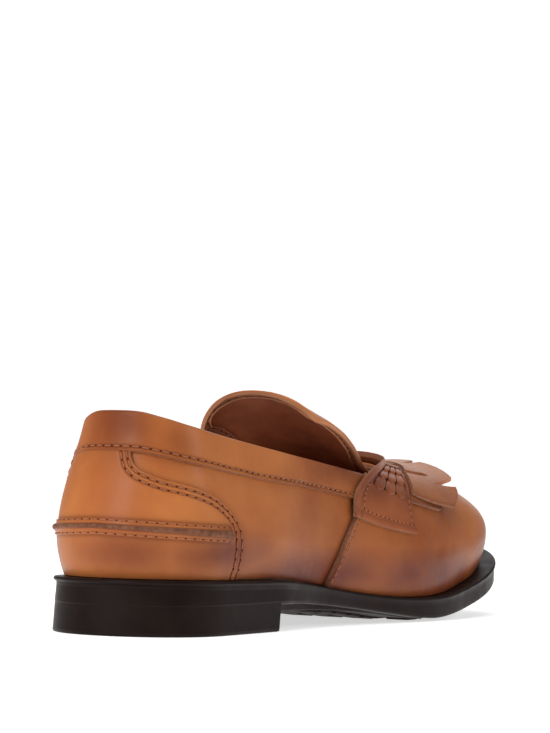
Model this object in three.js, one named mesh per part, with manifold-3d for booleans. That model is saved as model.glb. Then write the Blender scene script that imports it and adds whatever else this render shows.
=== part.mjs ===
import * as THREE from 'three';
import Module from 'manifold-3d';
import { mergeVertices } from 'three/addons/utils/BufferGeometryUtils.js';

const wasm = await Module();
wasm.setup();

// Driving sizes of the right shoe, in millimetres.
// X runs from heel to toe, Z is up, and the outer side of the foot is at negative Y.
const LENGTH = 300;
const BALL_WIDTH = 98;
const HEEL_WIDTH = 72;
const HEEL_LENGTH = 79.5;
const HEEL_STACK = 22;
const HEEL_FLARE = 1.2;
const BREAST_LEAN = 2.5;
const SOLE_EDGE = 9.5;
const WELT_THICKNESS = 3.6;
const EDGE_INSET = 0.6;
const EDGE_ROUND = 1.2;
const EDGE_LIFT = 1.0;
const TREAD_INSET = 7;
const TREAD_FRONT = 8;
const TREAD_DEPTH = 2.0;
const TREAD_CLEAR = 0.5;
const WAIST_DROP = 4.6;
const BALL_DROP = 1.6;
const STUD_HEIGHT = 1.2;
const STUD_LENGTH = 9;
const STUD_WIDTH = 11;
const STUD_PITCH = 13;
const STUD_ROW = 15;
const STUD_MARGIN = 1.5;
const STUDS_FROM = 150;
const STUDS_TO = 272;
const FOREFOOT_REST = 202;
const WAIST_RISE = 8.5;
const TOE_SPRING = 21;
const TOE_SWING = 6;
const HEEL_ROUND = 36;
const TOE_ROUND = 62;
const LEDGE = 7.5;
const BULGE = 4;
const BULGE_HEIGHT = 17;
const FEATHER_BACK = 5;
const FEATHER_FRONT = 9;
const TOE_OVERHANG = 6;
const BACK_HEIGHT = 66;
const BACK_LEAN = 11.5;
const SIDE_LEAN = 5.5;
const INSTEP = 68;
const TOE_DROP = 46;
const THROAT = 207;
const THROAT_CORNER = 163;
const VAMP_WALL = 2.4;
const QUARTER_WALL = 1.8;
const SEAM_STEP = 1.4;
const OVERLAY = 1.2;
const GAP = 0.3;
const UPPER_FOOT = 4.0;
const BAND_FROM = 0.755;
const SEAM_FOOT = 0.454;
const SEAM_BEND = 1.35;
const SEAM_GAP = 0.006;
const COUNTER_STRIP = 17.4;
const COUNTER_COLUMNS = 10;
const COUNTER_ROWS = 10;
const COUNTER_STEPS = 24;
const UPPER_CLEAR = 0.006;
const RIDGE_SEAM_BACK = 0.31;
const RIDGE_SEAM_DROP = 0.035;
const RIDGE_SEAM_REACH = 0.240;
const RIDGE_SEAM_HEIGHT = 2.0;
const RIDGE_SEAM_WIDTH = 6.4;
const TONGUE_THICKNESS = 2.6;
const TONGUE_END = 117;
const TONGUE_WIDTH = 58;
const TONGUE_ROUND = 9;
const TONGUE_ROOT = 232;
const TONGUE_TIP = 0.6;
const TONGUE_POWER = 2.4;
const TONGUE_COLUMNS = 18;
const TONGUE_ROWS = 14;
const STRAP_THICKNESS = 2.0;
const STRAP_FLARE = 2.6;
const WEAVE_RISE = 1.1;
const KILTIE_THICKNESS = 1.5;
const KILTIE_LIFT = 3.0;
const KILTIE_GAP = 0.9;
const KILTIE_ROOT = 0.59;
const KILTIE_EDGE = 0.69;
const KILTIE_BASE_SHORT = 5;
const KILTIE_BASE_ROOT = 0.632;
const KILTIE_BASE_EDGE = 0.674;
const KILTIE_COLUMNS = 24;
const KILTIE_ROWS = 6;
const LOBE_WIDTH = 12.6;
const LOBES = 3.35;
const NOTCH_DEPTH = 14.5;
const NOTCH_WIDTH = 4.0;
const SLIT_LENGTH = 22;
const SLIT_WIDTH = 3.4;
const SLIT_START = 3;
const NOTCHES = [-2.87, -0.8, 0.8, 2.87];
const SLITS = [-2.3, 2.3];
const INSOLE_RISE = 1.6;

// Shapes of the curve ends.
const HEEL_POWER = 2.15;
const TOE_POWER = 2.7;
const RIDGE_POWER = 2.3;
const SPRING_POWER = 1.6;
const ARCH_POWER_BACK = 2.25;
const ARCH_POWER_FRONT = 2.0;

// Where the shape passes from one part of the foot to the next, shares of the length.
const HEEL_TO = 0.27;
const SEAT_FROM = 0.25;
const SEAT_TO = 0.64;
const WIDEN_FROM = 0.30;
const WIDEN_TO = 0.60;
const EDGE_FROM = 0.25;
const EDGE_TO = 0.40;
const LEAN_FROM = 0.12;
const LEAN_TO = 0.42;
const SWING_FROM = 0.5;
const SPRING_FROM = 2 / 3;
const SEAT_FALL = 0.06;
const BULGE_FALL = 0.25;
const SOLE_CREST = 1;

// Steps and limits of the searches.
const COLLAR_TURNS = 25;
const SEAM_TURNS = 40;
const SEAM_TOP_LIMIT = 1.6;
const PAST_TOE = 1.2;
const TINY = 1e-3;
const WELD = 1e-4;

const table = (columns, ...lines) =>
  lines.map((line) => Object.fromEntries(columns.map((name, k) => [name, line[k]])));

// Widths are shares of the heel width behind the waist and of the ball width in front of it.
// The ledge and the bulge are shares of their own sizes.
const PLAN = table(
  ['at', 'lateral', 'medial', 'ledge', 'bulge'],
  [0.00, 0.493, 0.472, 0.60, 0.70],
  [0.14, 0.520, 0.493, 0.50, 0.70],
  [0.27, 0.520, 0.480, 0.45, 0.80],
  [0.42, 0.428, 0.360, 0.38, 0.90],
  [0.50, 0.408, 0.352, 0.40, 1.00],
  [0.58, 0.435, 0.400, 0.50, 1.00],
  [0.66, 0.480, 0.465, 0.65, 1.00],
  [0.73, 0.495, 0.500, 0.78, 0.95],
  [0.80, 0.490, 0.510, 0.90, 0.85],
  [0.88, 0.490, 0.500, 1.00, 0.70],
  [1.00, 0.490, 0.480, 1.05, 0.60]);

// Height of the ridge over the floor, a share of the instep height.
const RIDGE = table(
  ['at', 'height'],
  [0.000, 1.660], [0.250, 1.660], [0.350, 1.560], [0.450, 1.370], [0.550, 1.165],
  [0.620, 1.060], [0.667, 1.022], [0.720, 0.988], [0.780, 0.960], [0.840, 0.935],
  [0.900, 0.900], [1.000, 0.850]);

// Height of the collar over the floor, a share of its height at the back.
const TOPLINE = table(
  ['at', 'height'],
  [0.000, 1.000], [0.040, 0.994], [0.060, 0.970], [0.090, 0.938], [0.133, 0.909],
  [0.195, 0.875], [0.288, 0.828], [0.408, 0.781], [0.530, 0.730], [0.600, 0.700]);

// How far the back leans in, over the back height.
const BACK = table(
  ['at', 'lean'],
  [0.27, 0], [0.40, 0.13], [0.55, 0.37], [0.70, 0.66], [0.85, 0.90], [0.95, 0.975], [1.0, 1.0], [1.2, 1.1]);

// Underside of the sole's edge, a share of the waist rise.
const UNDER = table(
  ['at', 'rise'],
  [0.00, 1.15], [0.27, 1.15], [0.34, 1.10], [0.42, 0.93], [0.50, 0.66], [0.58, 0.32],
  [0.65, 0.06], [0.70, 0.00], [1.00, 0.00]);

// Side edges of the heel counter: height over the back height, reach along each half outline.
const COUNTER = table(
  ['at', 'lateral', 'medial'],
  [0.00, 0.262, 0.272], [0.08, 0.269, 0.271], [0.20, 0.273, 0.270], [0.28, 0.271, 0.269],
  [0.35, 0.262, 0.267], [0.43, 0.239, 0.260], [0.50, 0.206, 0.238], [0.535, 0.178, 0.223],
  [0.565, 0.145, 0.204], [0.59, 0.108, 0.186], [0.62, 0.080, 0.166], [0.65, 0.060, 0.154],
  [0.70, 0.045, 0.146], [0.80, 0.036, 0.142]);

// Tongue: how deep it lies under the face, over the depth below the vamp, how much it arches, its width.
const TONGUE = table(
  ['at', 'depth', 'arch', 'width'],
  [0.390, 1.30, 0.44, 1.00], [0.407, 0.70, 0.44, 1.00], [0.433, 0.57, 0.37, 1.00],
  [0.457, 0.40, 0.33, 1.00], [0.493, 0.20, 0.34, 1.00], [0.517, 0.20, 0.42, 1.00],
  [0.533, 0.22, 0.52, 0.98], [0.550, 0.26, 0.68, 0.94], [0.567, 0.34, 0.86, 0.90],
  [0.587, 0.46, 1.00, 0.83], [0.610, 0.70, 1.06, 0.74], [0.640, 0.98, 1.04, 0.66],
  [0.665, 1.00, 1.00, 0.62]);

// Rear and front edges of the saddle strap, shares of the length, from the ridge to the strap's end.
const STRAP = table(
  ['at', 'rear', 'front'],
  [0.00, 0.700, 0.775],
  [0.12, 0.695, 0.768],
  [0.25, 0.668, 0.735],
  [0.38, 0.610, 0.686],
  [0.51, 0.553, 0.655],
  [0.64, 0.509, 0.630],
  [0.75, 0.482, 0.620],
  [0.855, 0.472, 0.616]);

// Front edge of the flap, a share of the length, from its middle to its side edges.
const KILTIE = table(
  ['at', 'front'],
  [0.00, 0.855], [0.30, 0.850], [0.60, 0.830], [0.75, 0.803], [0.86, 0.782], [1.00, 0.732]);
const STRAP_END = 0.855;
const WEAVE_END = 0.615;
const WEAVE_CELLS = 11;
const WEAVE_STRIPS = 3;
const WEAVE_FROM = 0.20;
const WEAVE_TO = 0.90;
const FLARE_SHARE = 0.35;
const FLARE_FROM = 0.45;
const FLARE_END = 0.75;
const STRAP_COLUMNS = 52;
const STRAP_ROWS = 12;

function clamp(value, low, high) {
  return Math.min(high, Math.max(low, value));
}

function smooth(from, to, value) {
  const t = clamp((value - from) / (to - from), 0, 1);
  return t * t * (3 - 2 * t);
}

// Monotone curve through one column of a table.
function lookup(rows, column, at) {
  const n = rows.length;
  const t = clamp(at, rows[0].at, rows[n - 1].at);
  let i = 0;
  while (i < n - 2 && t >= rows[i + 1].at) i += 1;
  const slope = (k) => (rows[k + 1][column] - rows[k][column]) / (rows[k + 1].at - rows[k].at);
  const tangent = (k) => {
    if (k === 0) return slope(0);
    if (k === n - 1) return slope(n - 2);
    const a = slope(k - 1);
    const b = slope(k);
    return a * b <= 0 ? 0 : (2 * a * b) / (a + b);
  };
  const h = rows[i + 1].at - rows[i].at;
  const s = (t - rows[i].at) / h;
  return (2 * s ** 3 - 3 * s ** 2 + 1) * rows[i][column] + (s ** 3 - 2 * s ** 2 + s) * h * tangent(i)
    + (3 * s ** 2 - 2 * s ** 3) * rows[i + 1][column] + (s ** 3 - s ** 2) * h * tangent(i + 1);
}

// Quarter of a superellipse: 1 at the middle, 0 at the end.
function round(share, power) {
  return (1 - clamp(share, 0, 1) ** power) ** (1 / power);
}

// The last: its outline in plan, at any inset from the sole's edge.
function span(t) {
  return HEEL_WIDTH + (BALL_WIDTH - HEEL_WIDTH) * smooth(WIDEN_FROM, WIDEN_TO, t);
}

function centre(x) {
  const t = clamp((x / LENGTH - SWING_FROM) / (1 - SWING_FROM), 0, PAST_TOE);
  return TOE_SWING * t * t;
}

function half(side, x, inset, back, front) {
  const t = x / LENGTH;
  const width = lookup(PLAN, side < 0 ? 'lateral' : 'medial', t) * span(t) - inset;
  const behind = (HEEL_ROUND - x) / (HEEL_ROUND - back);
  const ahead = (x - (LENGTH - TOE_ROUND)) / (TOE_ROUND - front);
  return width * round(behind, HEEL_POWER) * round(ahead, TOE_POWER);
}

function along(u, back, front) {
  return back + (LENGTH - front - back) * (1 - Math.cos(Math.PI * u)) / 2;
}

// Heights of the sole.
function spring(x) {
  return TOE_SPRING * clamp((x / LENGTH - SPRING_FROM) / (1 - SPRING_FROM), 0, PAST_TOE) ** SPRING_POWER;
}

function under(x) {
  return WAIST_RISE * lookup(UNDER, 'rise', x / LENGTH) + spring(x);
}

function seat(x) {
  const t = x / LENGTH;
  const heel = HEEL_STACK * (1 - SEAT_FALL * smooth(0, HEEL_TO, t));
  const front = smooth(SEAT_FROM, SEAT_TO, t);
  return heel * (1 - front) + (SOLE_EDGE + SOLE_CREST) * front + spring(x);
}

// Heights and widths of the upper over the seat.
function bulgeHeight(x) {
  return BULGE_HEIGHT * (1 - BULGE_FALL * smooth(WIDEN_TO, 1, x / LENGTH));
}

function belly(x) {
  return seat(x) + bulgeHeight(x);
}

function ridge(x) {
  const b = belly(x);
  const ahead = (x - (LENGTH - TOE_DROP)) / (TOE_DROP - (FEATHER_FRONT - TOE_OVERHANG));
  return b + (INSTEP * lookup(RIDGE, 'height', x / LENGTH) - b) * round(ahead, RIDGE_POWER);
}

function power(x) {
  return ARCH_POWER_BACK + (ARCH_POWER_FRONT - ARCH_POWER_BACK) * smooth(WIDEN_FROM, WIDEN_TO, x / LENGTH);
}

function tuck(x, h) {
  return 1 - (1 - clamp(h / bulgeHeight(x), 0, 1)) ** 2;
}

function lean(h) {
  return lookup(BACK, 'lean', h / BACK_HEIGHT);
}

function sideHalf(side, x, h) {
  const k = tuck(x, h);
  const t = x / LENGTH;
  const leaning = SIDE_LEAN * lean(h) * (1 - smooth(LEAN_FROM, LEAN_TO, t));
  const inset = LEDGE * lookup(PLAN, 'ledge', t) - BULGE * k * lookup(PLAN, 'bulge', t) + leaning;
  const back = FEATHER_BACK * (1 - k) + BACK_LEAN * lean(h);
  return half(side, x, inset, back, FEATHER_FRONT - TOE_OVERHANG * k);
}

// Point of the upper's face in rings: u from the heel's back to the toe, h over the seat.
function wallPoint(side, u, h) {
  const k = tuck(along(u, 0, 0), h);
  const x = along(u, FEATHER_BACK * (1 - k) + BACK_LEAN * lean(h), FEATHER_FRONT - TOE_OVERHANG * k);
  const z = seat(x) + h;
  const b = belly(x);
  const width = sideHalf(side, x, h) * round((z - b) / Math.max(ridge(x) - b, TINY), power(x));
  return new THREE.Vector3(x, centre(x) + side * width, z);
}

function bellyHalf(side, x) {
  return sideHalf(side, x, bulgeHeight(x));
}

// Point of the face over the belly: a is 0 on the ridge and 1 at the belly.
function archPoint(side, x, a) {
  const n = power(x);
  const across = Math.sin(a * Math.PI / 2) ** (2 / n);
  const up = Math.max(0, Math.cos(a * Math.PI / 2)) ** (2 / n);
  const b = belly(x);
  return new THREE.Vector3(x, centre(x) + side * bellyHalf(side, x) * across, b + (ridge(x) - b) * up);
}

function lift(side, x, y) {
  const b = belly(x);
  const share = Math.abs(y - centre(x)) / Math.max(bellyHalf(side, x), TINY);
  return b + (ridge(x) - b) * round(share, power(x));
}

function collarTop(x) {
  return (HEEL_STACK + BACK_HEIGHT) * lookup(TOPLINE, 'height', x / LENGTH);
}

function collarHeight(side, u) {
  let h = BACK_HEIGHT;
  for (let k = 0; k < COLLAR_TURNS; k += 1) {
    const p = wallPoint(side, u, h);
    h += collarTop(p.x) - p.z;
  }
  return h;
}

// The side seam climbs forward from its foot to the throat's corner, more and more.
const SEAM_TOPS = Object.fromEntries([-1, 1].map((side) => {
  let low = 1;
  let high = SEAM_TOP_LIMIT;
  for (let k = 0; k < SEAM_TURNS; k += 1) {
    const mid = (low + high) / 2;
    const u = SEAM_FOOT * mid;
    if (wallPoint(side, u, collarHeight(side, u)).x > THROAT_CORNER) high = mid;
    else low = mid;
  }
  return [side, low];
}));

function seamTurn(side, share) {
  return 1 + (SEAM_TOPS[side] - 1) * share ** SEAM_BEND;
}

// Point of the quarter: foot along the seat, share of the way up to the collar.
function quarterPoint(side, foot, share) {
  const height = collarHeight(side, foot * SEAM_TOPS[side]);
  return wallPoint(side, foot * seamTurn(side, share), GAP + (height - GAP) * share);
}

// Columns of points from the seat up: of the quarter to the collar, of the vamp to the throat.
const PATH_STEPS = 48;
const LOW_STEPS = 16;
const SEAM_BLEND = 0.3;

function quarterPath(side, foot) {
  return Array.from({ length: PATH_STEPS + 1 }, (_, k) => quarterPoint(side, foot, k / PATH_STEPS));
}

function throatPoint(side, share) {
  const corner = quarterPoint(side, SEAM_FOOT, 1);
  const turn = share * Math.PI / 2;
  const x = corner.x + (THROAT - corner.x) * Math.sin(turn);
  const y = centre(x) + (corner.y - centre(corner.x)) * Math.cos(turn);
  return new THREE.Vector3(x, y, lift(side, x, y));
}

function vampPath(side, share) {
  const foot = SEAM_FOOT + (1 - SEAM_FOOT) * share;
  const near = 1 - smooth(0, SEAM_BLEND, share);
  const bellyAt = bulgeHeight(along(foot, 0, 0));
  const low = bellyAt / collarHeight(side, SEAM_FOOT);
  const path = [];
  for (let k = 0; k <= LOW_STEPS; k += 1) {
    const rise = k / LOW_STEPS;
    const turn = 1 + (seamTurn(side, rise * low) - 1) * near;
    path.push(wallPoint(side, foot * turn, GAP + (bellyAt - GAP) * rise));
  }
  const start = path[path.length - 1];
  const end = throatPoint(side, share);
  const seamStart = quarterPoint(side, SEAM_FOOT, low);
  const seamEnd = quarterPoint(side, SEAM_FOOT, 1);
  for (let k = 1; k <= PATH_STEPS; k += 1) {
    const t = share > 0 ? 1 - Math.cos(k / PATH_STEPS * Math.PI / 2) : k / PATH_STEPS;
    const seam = quarterPoint(side, SEAM_FOOT, low + (1 - low) * t);
    const bendX = seam.x - (seamStart.x + (seamEnd.x - seamStart.x) * t);
    const bendY = seam.y - (seamStart.y + (seamEnd.y - seamStart.y) * t);
    const x = start.x + (end.x - start.x) * t + bendX * near;
    const y = start.y + (end.y - start.y) * t + bendY * near;
    path.push(new THREE.Vector3(x, y, share > 0 ? lift(side, x, y) : seam.z));
  }
  return path;
}

function resample(path, count) {
  const run = [0];
  for (let k = 1; k < path.length; k += 1) run.push(run[k - 1] + path[k].distanceTo(path[k - 1]));
  const total = run[run.length - 1];
  const points = [];
  let j = 0;
  for (let k = 0; k < count; k += 1) {
    const goal = total * k / (count - 1);
    while (j < path.length - 2 && run[j + 1] < goal) j += 1;
    const t = clamp((goal - run[j]) / (run[j + 1] - run[j]), 0, 1);
    points.push(path[j].clone().lerp(path[j + 1], t));
  }
  return points;
}

// Outward normals of a grid of points, columns first.
function gridNormals(points, closed) {
  const n = points.length;
  const m = points[0].length;
  return points.map((column, i) => column.map((_, j) => {
    const before = points[closed ? (i + n - 1) % n : Math.max(i - 1, 0)][j];
    const after = points[closed ? (i + 1) % n : Math.min(i + 1, n - 1)][j];
    const down = column[Math.max(j - 1, 0)];
    const up = column[Math.min(j + 1, m - 1)];
    return new THREE.Vector3().crossVectors(after.clone().sub(before), up.clone().sub(down)).normalize();
  }));
}

function offsetGrid(points, normals, distance) {
  const at = typeof distance === 'function' ? distance : () => distance;
  return points.map((column, i) => column.map((point, j) =>
    point.clone().addScaledVector(normals[i][j], at(i, j))));
}

// A closed body between an outer and an inner grid.
function sheetGeometry(outer, inner, closed) {
  const n = outer.length;
  const m = outer[0].length;
  const position = [];
  const index = [];
  for (const p of [...outer.flat(), ...inner.flat()]) position.push(p.x, p.y, p.z);
  const id = (skin, i, j) => skin * n * m + (i % n) * m + j;
  const quad = (a, b, c, d) => index.push(a, b, c, a, c, d);
  const columns = closed ? n : n - 1;
  for (let i = 0; i < columns; i += 1) {
    for (let j = 0; j < m - 1; j += 1) {
      quad(id(0, i, j), id(0, i + 1, j), id(0, i + 1, j + 1), id(0, i, j + 1));
      quad(id(1, i, j), id(1, i, j + 1), id(1, i + 1, j + 1), id(1, i + 1, j));
    }
    quad(id(0, i + 1, 0), id(0, i, 0), id(1, i, 0), id(1, i + 1, 0));
    quad(id(0, i, m - 1), id(0, i + 1, m - 1), id(1, i + 1, m - 1), id(1, i, m - 1));
  }
  if (!closed) {
    for (let j = 0; j < m - 1; j += 1) {
      quad(id(0, 0, j), id(0, 0, j + 1), id(1, 0, j + 1), id(1, 0, j));
      quad(id(0, n - 1, j + 1), id(0, n - 1, j), id(1, n - 1, j), id(1, n - 1, j + 1));
    }
  }
  const geometry = new THREE.BufferGeometry();
  geometry.setAttribute('position', new THREE.Float32BufferAttribute(position, 3));
  geometry.setIndex(index);
  return geometry;
}

function outwardFacing(geometry) {
  const p = geometry.attributes.position;
  const index = geometry.index.array;
  let volume = 0;
  const [a, b, c] = [new THREE.Vector3(), new THREE.Vector3(), new THREE.Vector3()];
  for (let k = 0; k < index.length; k += 3) {
    a.fromBufferAttribute(p, index[k]);
    b.fromBufferAttribute(p, index[k + 1]);
    c.fromBufferAttribute(p, index[k + 2]);
    volume += a.dot(b.cross(c));
  }
  if (volume < 0) index.reverse();
  return geometry;
}

function toSolid(geometry) {
  const bare = geometry.clone();
  bare.deleteAttribute('normal');
  bare.deleteAttribute('uv');
  const merged = mergeVertices(bare, WELD);
  return new wasm.Manifold(new wasm.Mesh({
    numProp: 3,
    vertProperties: new Float32Array(merged.attributes.position.array),
    triVerts: new Uint32Array(merged.index.array),
  }));
}

function fromSolid(solid) {
  const mesh = solid.getMesh();
  const geometry = new THREE.BufferGeometry();
  geometry.setAttribute('position', new THREE.Float32BufferAttribute(mesh.vertProperties, 3));
  geometry.setIndex(Array.from(mesh.triVerts));
  return geometry;
}

// A ring of points along an outline: the outer side from heel to toe, then the inner side back.
// Where the form stops short of a rounded end, that end is straight across.
const RING_STEPS = 22;
const POLE = 0.01;

function outlineRing({ inset, back = 0, front = 0, from = back, to = LENGTH - front, height }) {
  const sides = [-1, 1].map((side) => {
    const points = [];
    for (let k = 0; k <= RING_STEPS; k += 1) {
      const x = from + (to - from) * (1 - Math.cos(Math.PI * k / RING_STEPS)) / 2;
      const width = half(side, x, typeof inset === 'function' ? inset(x) : inset, back, front);
      points.push(new THREE.Vector3(x, centre(x) + side * width, height(x)));
    }
    return points;
  });
  const closedBack = sides[0][0].distanceTo(sides[1][0]) < POLE;
  const closedFront = sides[0][RING_STEPS].distanceTo(sides[1][RING_STEPS]) < POLE;
  const medial = sides[1].slice(closedBack ? 1 : 0, closedFront ? RING_STEPS : RING_STEPS + 1).reverse();
  return { points: [...sides[0], ...medial], closedBack, closedFront };
}

// A body of rings: the walls join neighbouring rings, and flat strips close the first and last.
function stackGeometry(rings, hollow) {
  const count = rings[0].points.length;
  const position = rings.flatMap((ring) => ring.points.flatMap((p) => [p.x, p.y, p.z]));
  const index = [];
  const id = (r, k) => (r % rings.length) * count + (k % count);
  for (let r = 0; r < (hollow ? rings.length : rings.length - 1); r += 1) {
    for (let k = 0; k < count; k += 1) {
      index.push(id(r, k), id(r, k + 1), id(r + 1, k + 1), id(r, k), id(r + 1, k + 1), id(r + 1, k));
    }
  }
  if (!hollow) {
    const last = rings[0].closedBack ? count : count - 1;
    const across = (k) => (k === 0 && rings[0].closedBack ? 0 : last - k);
    const lid = (r, flip) => {
      for (let k = 0; k < RING_STEPS; k += 1) {
        const [a, b, c, d] = [k, k + 1, across(k + 1), across(k)];
        for (const tri of [[a, b, c], [a, c, d]]) {
          if (new Set(tri.map((v) => v % count)).size < 3) continue;
          const ids = tri.map((v) => id(r, v));
          index.push(...(flip ? ids.reverse() : ids));
        }
      }
    };
    lid(0, true);
    lid(rings.length - 1, false);
  }
  const geometry = new THREE.BufferGeometry();
  geometry.setAttribute('position', new THREE.Float32BufferAttribute(position, 3));
  geometry.setIndex(index);
  return geometry;
}

const leather = { color: 0xb8743f, roughness: 0.42, metalness: 0 };
const darkLeather = { color: 0x8a4f2b, roughness: 0.45, metalness: 0 };
const rubber = { color: 0x2a201e, roughness: 0.5, metalness: 0 };
const lining = { color: 0x6e3c28, roughness: 0.7, metalness: 0 };

const group = new THREE.Group();
const shoe = new THREE.Group();
shoe.position.x = -HEEL_LENGTH / 2;
group.add(shoe);

function add(name, geometry, look) {
  const mesh = new THREE.Mesh(outwardFacing(geometry), new THREE.MeshStandardMaterial(look));
  mesh.name = name;
  shoe.add(mesh);
}

// Sole
const ledge = (x) => LEDGE * lookup(PLAN, 'ledge', x / LENGTH);
const heelTop = WAIST_RISE * UNDER[0].rise;
const soleTop = (x) => seat(x) - WELT_THICKNESS - GAP;
const flareAt = (z) => HEEL_FLARE * z / (HEEL_STACK - WELT_THICKNESS);
const soleInset = (x, flare) => flare + (EDGE_INSET - flare) * smooth(EDGE_FROM, EDGE_TO, x / LENGTH);
const treadFrom = HEEL_LENGTH + BREAST_LEAN + TREAD_INSET;
const treadBase = (x) => under(x) + EDGE_LIFT + TREAD_DEPTH;
const treadDrop = (x) => WAIST_DROP + (BALL_DROP - WAIST_DROP) * smooth(WIDEN_FROM, WIDEN_TO, x / LENGTH);
const treadFloor = (x) => Math.max(0, under(x) + EDGE_LIFT - treadDrop(x));

function outsoleGeometry() {
  const ring = (extra, flare, height) => outlineRing({
    inset: (x) => soleInset(x, flare) + extra,
    back: flare + extra,
    front: EDGE_INSET + extra,
    height,
  });
  const low = flareAt(heelTop);
  const body = stackGeometry([
    ring(EDGE_ROUND, low, (x) => under(x) + EDGE_LIFT),
    ring(0, low, (x) => under(x) + EDGE_LIFT + EDGE_ROUND),
    ring(0, HEEL_FLARE, (x) => soleTop(x) - EDGE_ROUND / 2),
    ring(EDGE_ROUND / 2, HEEL_FLARE, soleTop),
  ]);
  const pocket = stackGeometry([
    treadRing(-TREAD_CLEAR, () => -TREAD_INSET),
    treadRing(-TREAD_CLEAR, (x) => treadBase(x)),
  ]);
  return fromSolid(toSolid(outwardFacing(body)).subtract(toSolid(outwardFacing(pocket))));
}

function treadRing(grow, height) {
  return outlineRing({
    inset: TREAD_INSET + grow,
    back: 0,
    front: TREAD_INSET + TREAD_FRONT + grow,
    from: treadFrom + grow,
    height,
  });
}

// A block between a flat or curved foot and a height inside the tread.
function studGeometry(x, y, length, width) {
  const geometry = new THREE.BoxGeometry(length, width, 1);
  const p = geometry.attributes.position;
  for (let k = 0; k < p.count; k += 1) {
    const px = x + p.getX(k);
    const pz = p.getZ(k) < 0 ? treadFloor(px) : treadFloor(px) + STUD_HEIGHT + STUD_HEIGHT / 2;
    p.setXYZ(k, px, y + p.getY(k), pz);
  }
  return geometry;
}

function treadGeometry() {
  const plate = (x) => treadFloor(x) + STUD_HEIGHT;
  let solid = toSolid(outwardFacing(stackGeometry([
    treadRing(0, plate),
    treadRing(0, (x) => treadBase(x) - TREAD_CLEAR),
  ])));
  const first = FOREFOOT_REST - Math.floor((FOREFOOT_REST - STUDS_FROM) / STUD_PITCH) * STUD_PITCH;
  for (let x = first; x < STUDS_TO; x += STUD_PITCH) {
    const room = Math.min(...[-1, 1].flatMap((side) => [-1, 1].map((end) =>
      half(side, x + end * STUD_LENGTH / 2, TREAD_INSET, 0, TREAD_INSET + TREAD_FRONT))));
    const pairs = Math.floor((room - STUD_WIDTH / 2 - STUD_MARGIN) / STUD_ROW);
    for (let k = -pairs; k <= pairs; k += 1) {
      solid = solid.add(toSolid(studGeometry(x, centre(x) + k * STUD_ROW, STUD_LENGTH, STUD_WIDTH)));
    }
  }
  return fromSolid(solid);
}

function heelGeometry() {
  const ring = (inset, breast, height) => outlineRing({
    inset, back: inset, from: inset, to: HEEL_LENGTH + breast, height: () => height,
  });
  return stackGeometry([
    ring(EDGE_ROUND / 2, -EDGE_ROUND / 2, 0),
    ring(0, 0, EDGE_ROUND / 2),
    ring(flareAt(heelTop), BREAST_LEAN, heelTop + EDGE_LIFT - GAP),
  ]);
}

// Rounded edge of the welt: inset from the sole's outline, and drop over its thickness.
const WELT_EDGE = table(
  ['inset', 'drop'],
  [0.7, 1.00], [0.6, 0.55], [0.0, 0.35], [0.2, 0.10], [1.0, 0.00]);

function weltGeometry() {
  const outer = ({ inset, drop }) => outlineRing({
    inset, back: inset, front: inset, height: (x) => seat(x) - WELT_THICKNESS * drop,
  });
  const inner = (share) => outlineRing({
    inset: (x) => ledge(x) + UPPER_FOOT,
    back: FEATHER_BACK + UPPER_FOOT,
    front: FEATHER_FRONT + UPPER_FOOT,
    height: (x) => seat(x) - WELT_THICKNESS * share,
  });
  return stackGeometry([...WELT_EDGE.map(outer), inner(0), inner(1)], true);
}

function insoleGeometry() {
  const ring = (height) => outlineRing({
    inset: (x) => ledge(x) + UPPER_FOOT + GAP,
    back: FEATHER_BACK + UPPER_FOOT + GAP,
    front: FEATHER_FRONT + UPPER_FOOT + GAP,
    height,
  });
  return stackGeometry([ring((x) => seat(x) - WELT_THICKNESS), ring((x) => seat(x) + INSOLE_RISE)]);
}

add('outsole', outsoleGeometry(), rubber);
add('forefoot_tread', treadGeometry(), rubber);
add('heel_block', heelGeometry(), rubber);
add('welt', weltGeometry(), rubber);
add('insole', insoleGeometry(), lining);

// Upper: the quarters lie one step deeper than the vamp, which laps over them at the side seam.
const QUARTER_COLUMNS = 16;
const VAMP_COLUMNS = 14;
const UPPER_ROWS = 12;
const SEAM_WIDTH = 0.25;

function upperColumns(side) {
  const quarter = { outer: SEAM_STEP, inner: SEAM_STEP + QUARTER_WALL };
  const columns = [];
  for (let k = 0; k < QUARTER_COLUMNS; k += 1) {
    columns.push({ path: quarterPath(side, SEAM_FOOT * k / QUARTER_COLUMNS), ...quarter });
  }
  columns.push({ path: vampPath(side, 0), ...quarter, seam: true });
  for (let k = 0; k <= VAMP_COLUMNS; k += 1) {
    columns.push({ path: vampPath(side, k / VAMP_COLUMNS), outer: 0, inner: VAMP_WALL });
  }
  return columns;
}

// Lengthens or shortens a column along its own first step, so that it ends just over the sole.
function footDown(column) {
  const step = column[0].clone().sub(column[1]);
  column[0].addScaledVector(step, (seat(column[0].x) + GAP - column[0].z) / step.z);
}

function upperGeometry() {
  const medial = upperColumns(1).reverse().slice(1, -1);
  const columns = [...upperColumns(-1), ...medial];
  const face = columns.map((column) => resample(column.path, UPPER_ROWS));
  columns.forEach((column, i) => {
    if (!column.seam) return;
    const behind = face[columns[i - 1].outer > 0 ? i - 1 : i + 1];
    face[i] = face[i].map((p, j) =>
      p.clone().addScaledVector(behind[j].clone().sub(p).normalize(), SEAM_WIDTH));
  });
  const normals = gridNormals(face, true);
  const outer = offsetGrid(face, normals, (i) => -columns[i].outer);
  const inner = offsetGrid(face, normals, (i) => -columns[i].inner);
  for (const skin of [outer, inner]) for (const column of skin) footDown(column);
  return sheetGeometry(outer, inner, true);
}
add('upper', upperGeometry(), leather);

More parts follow.
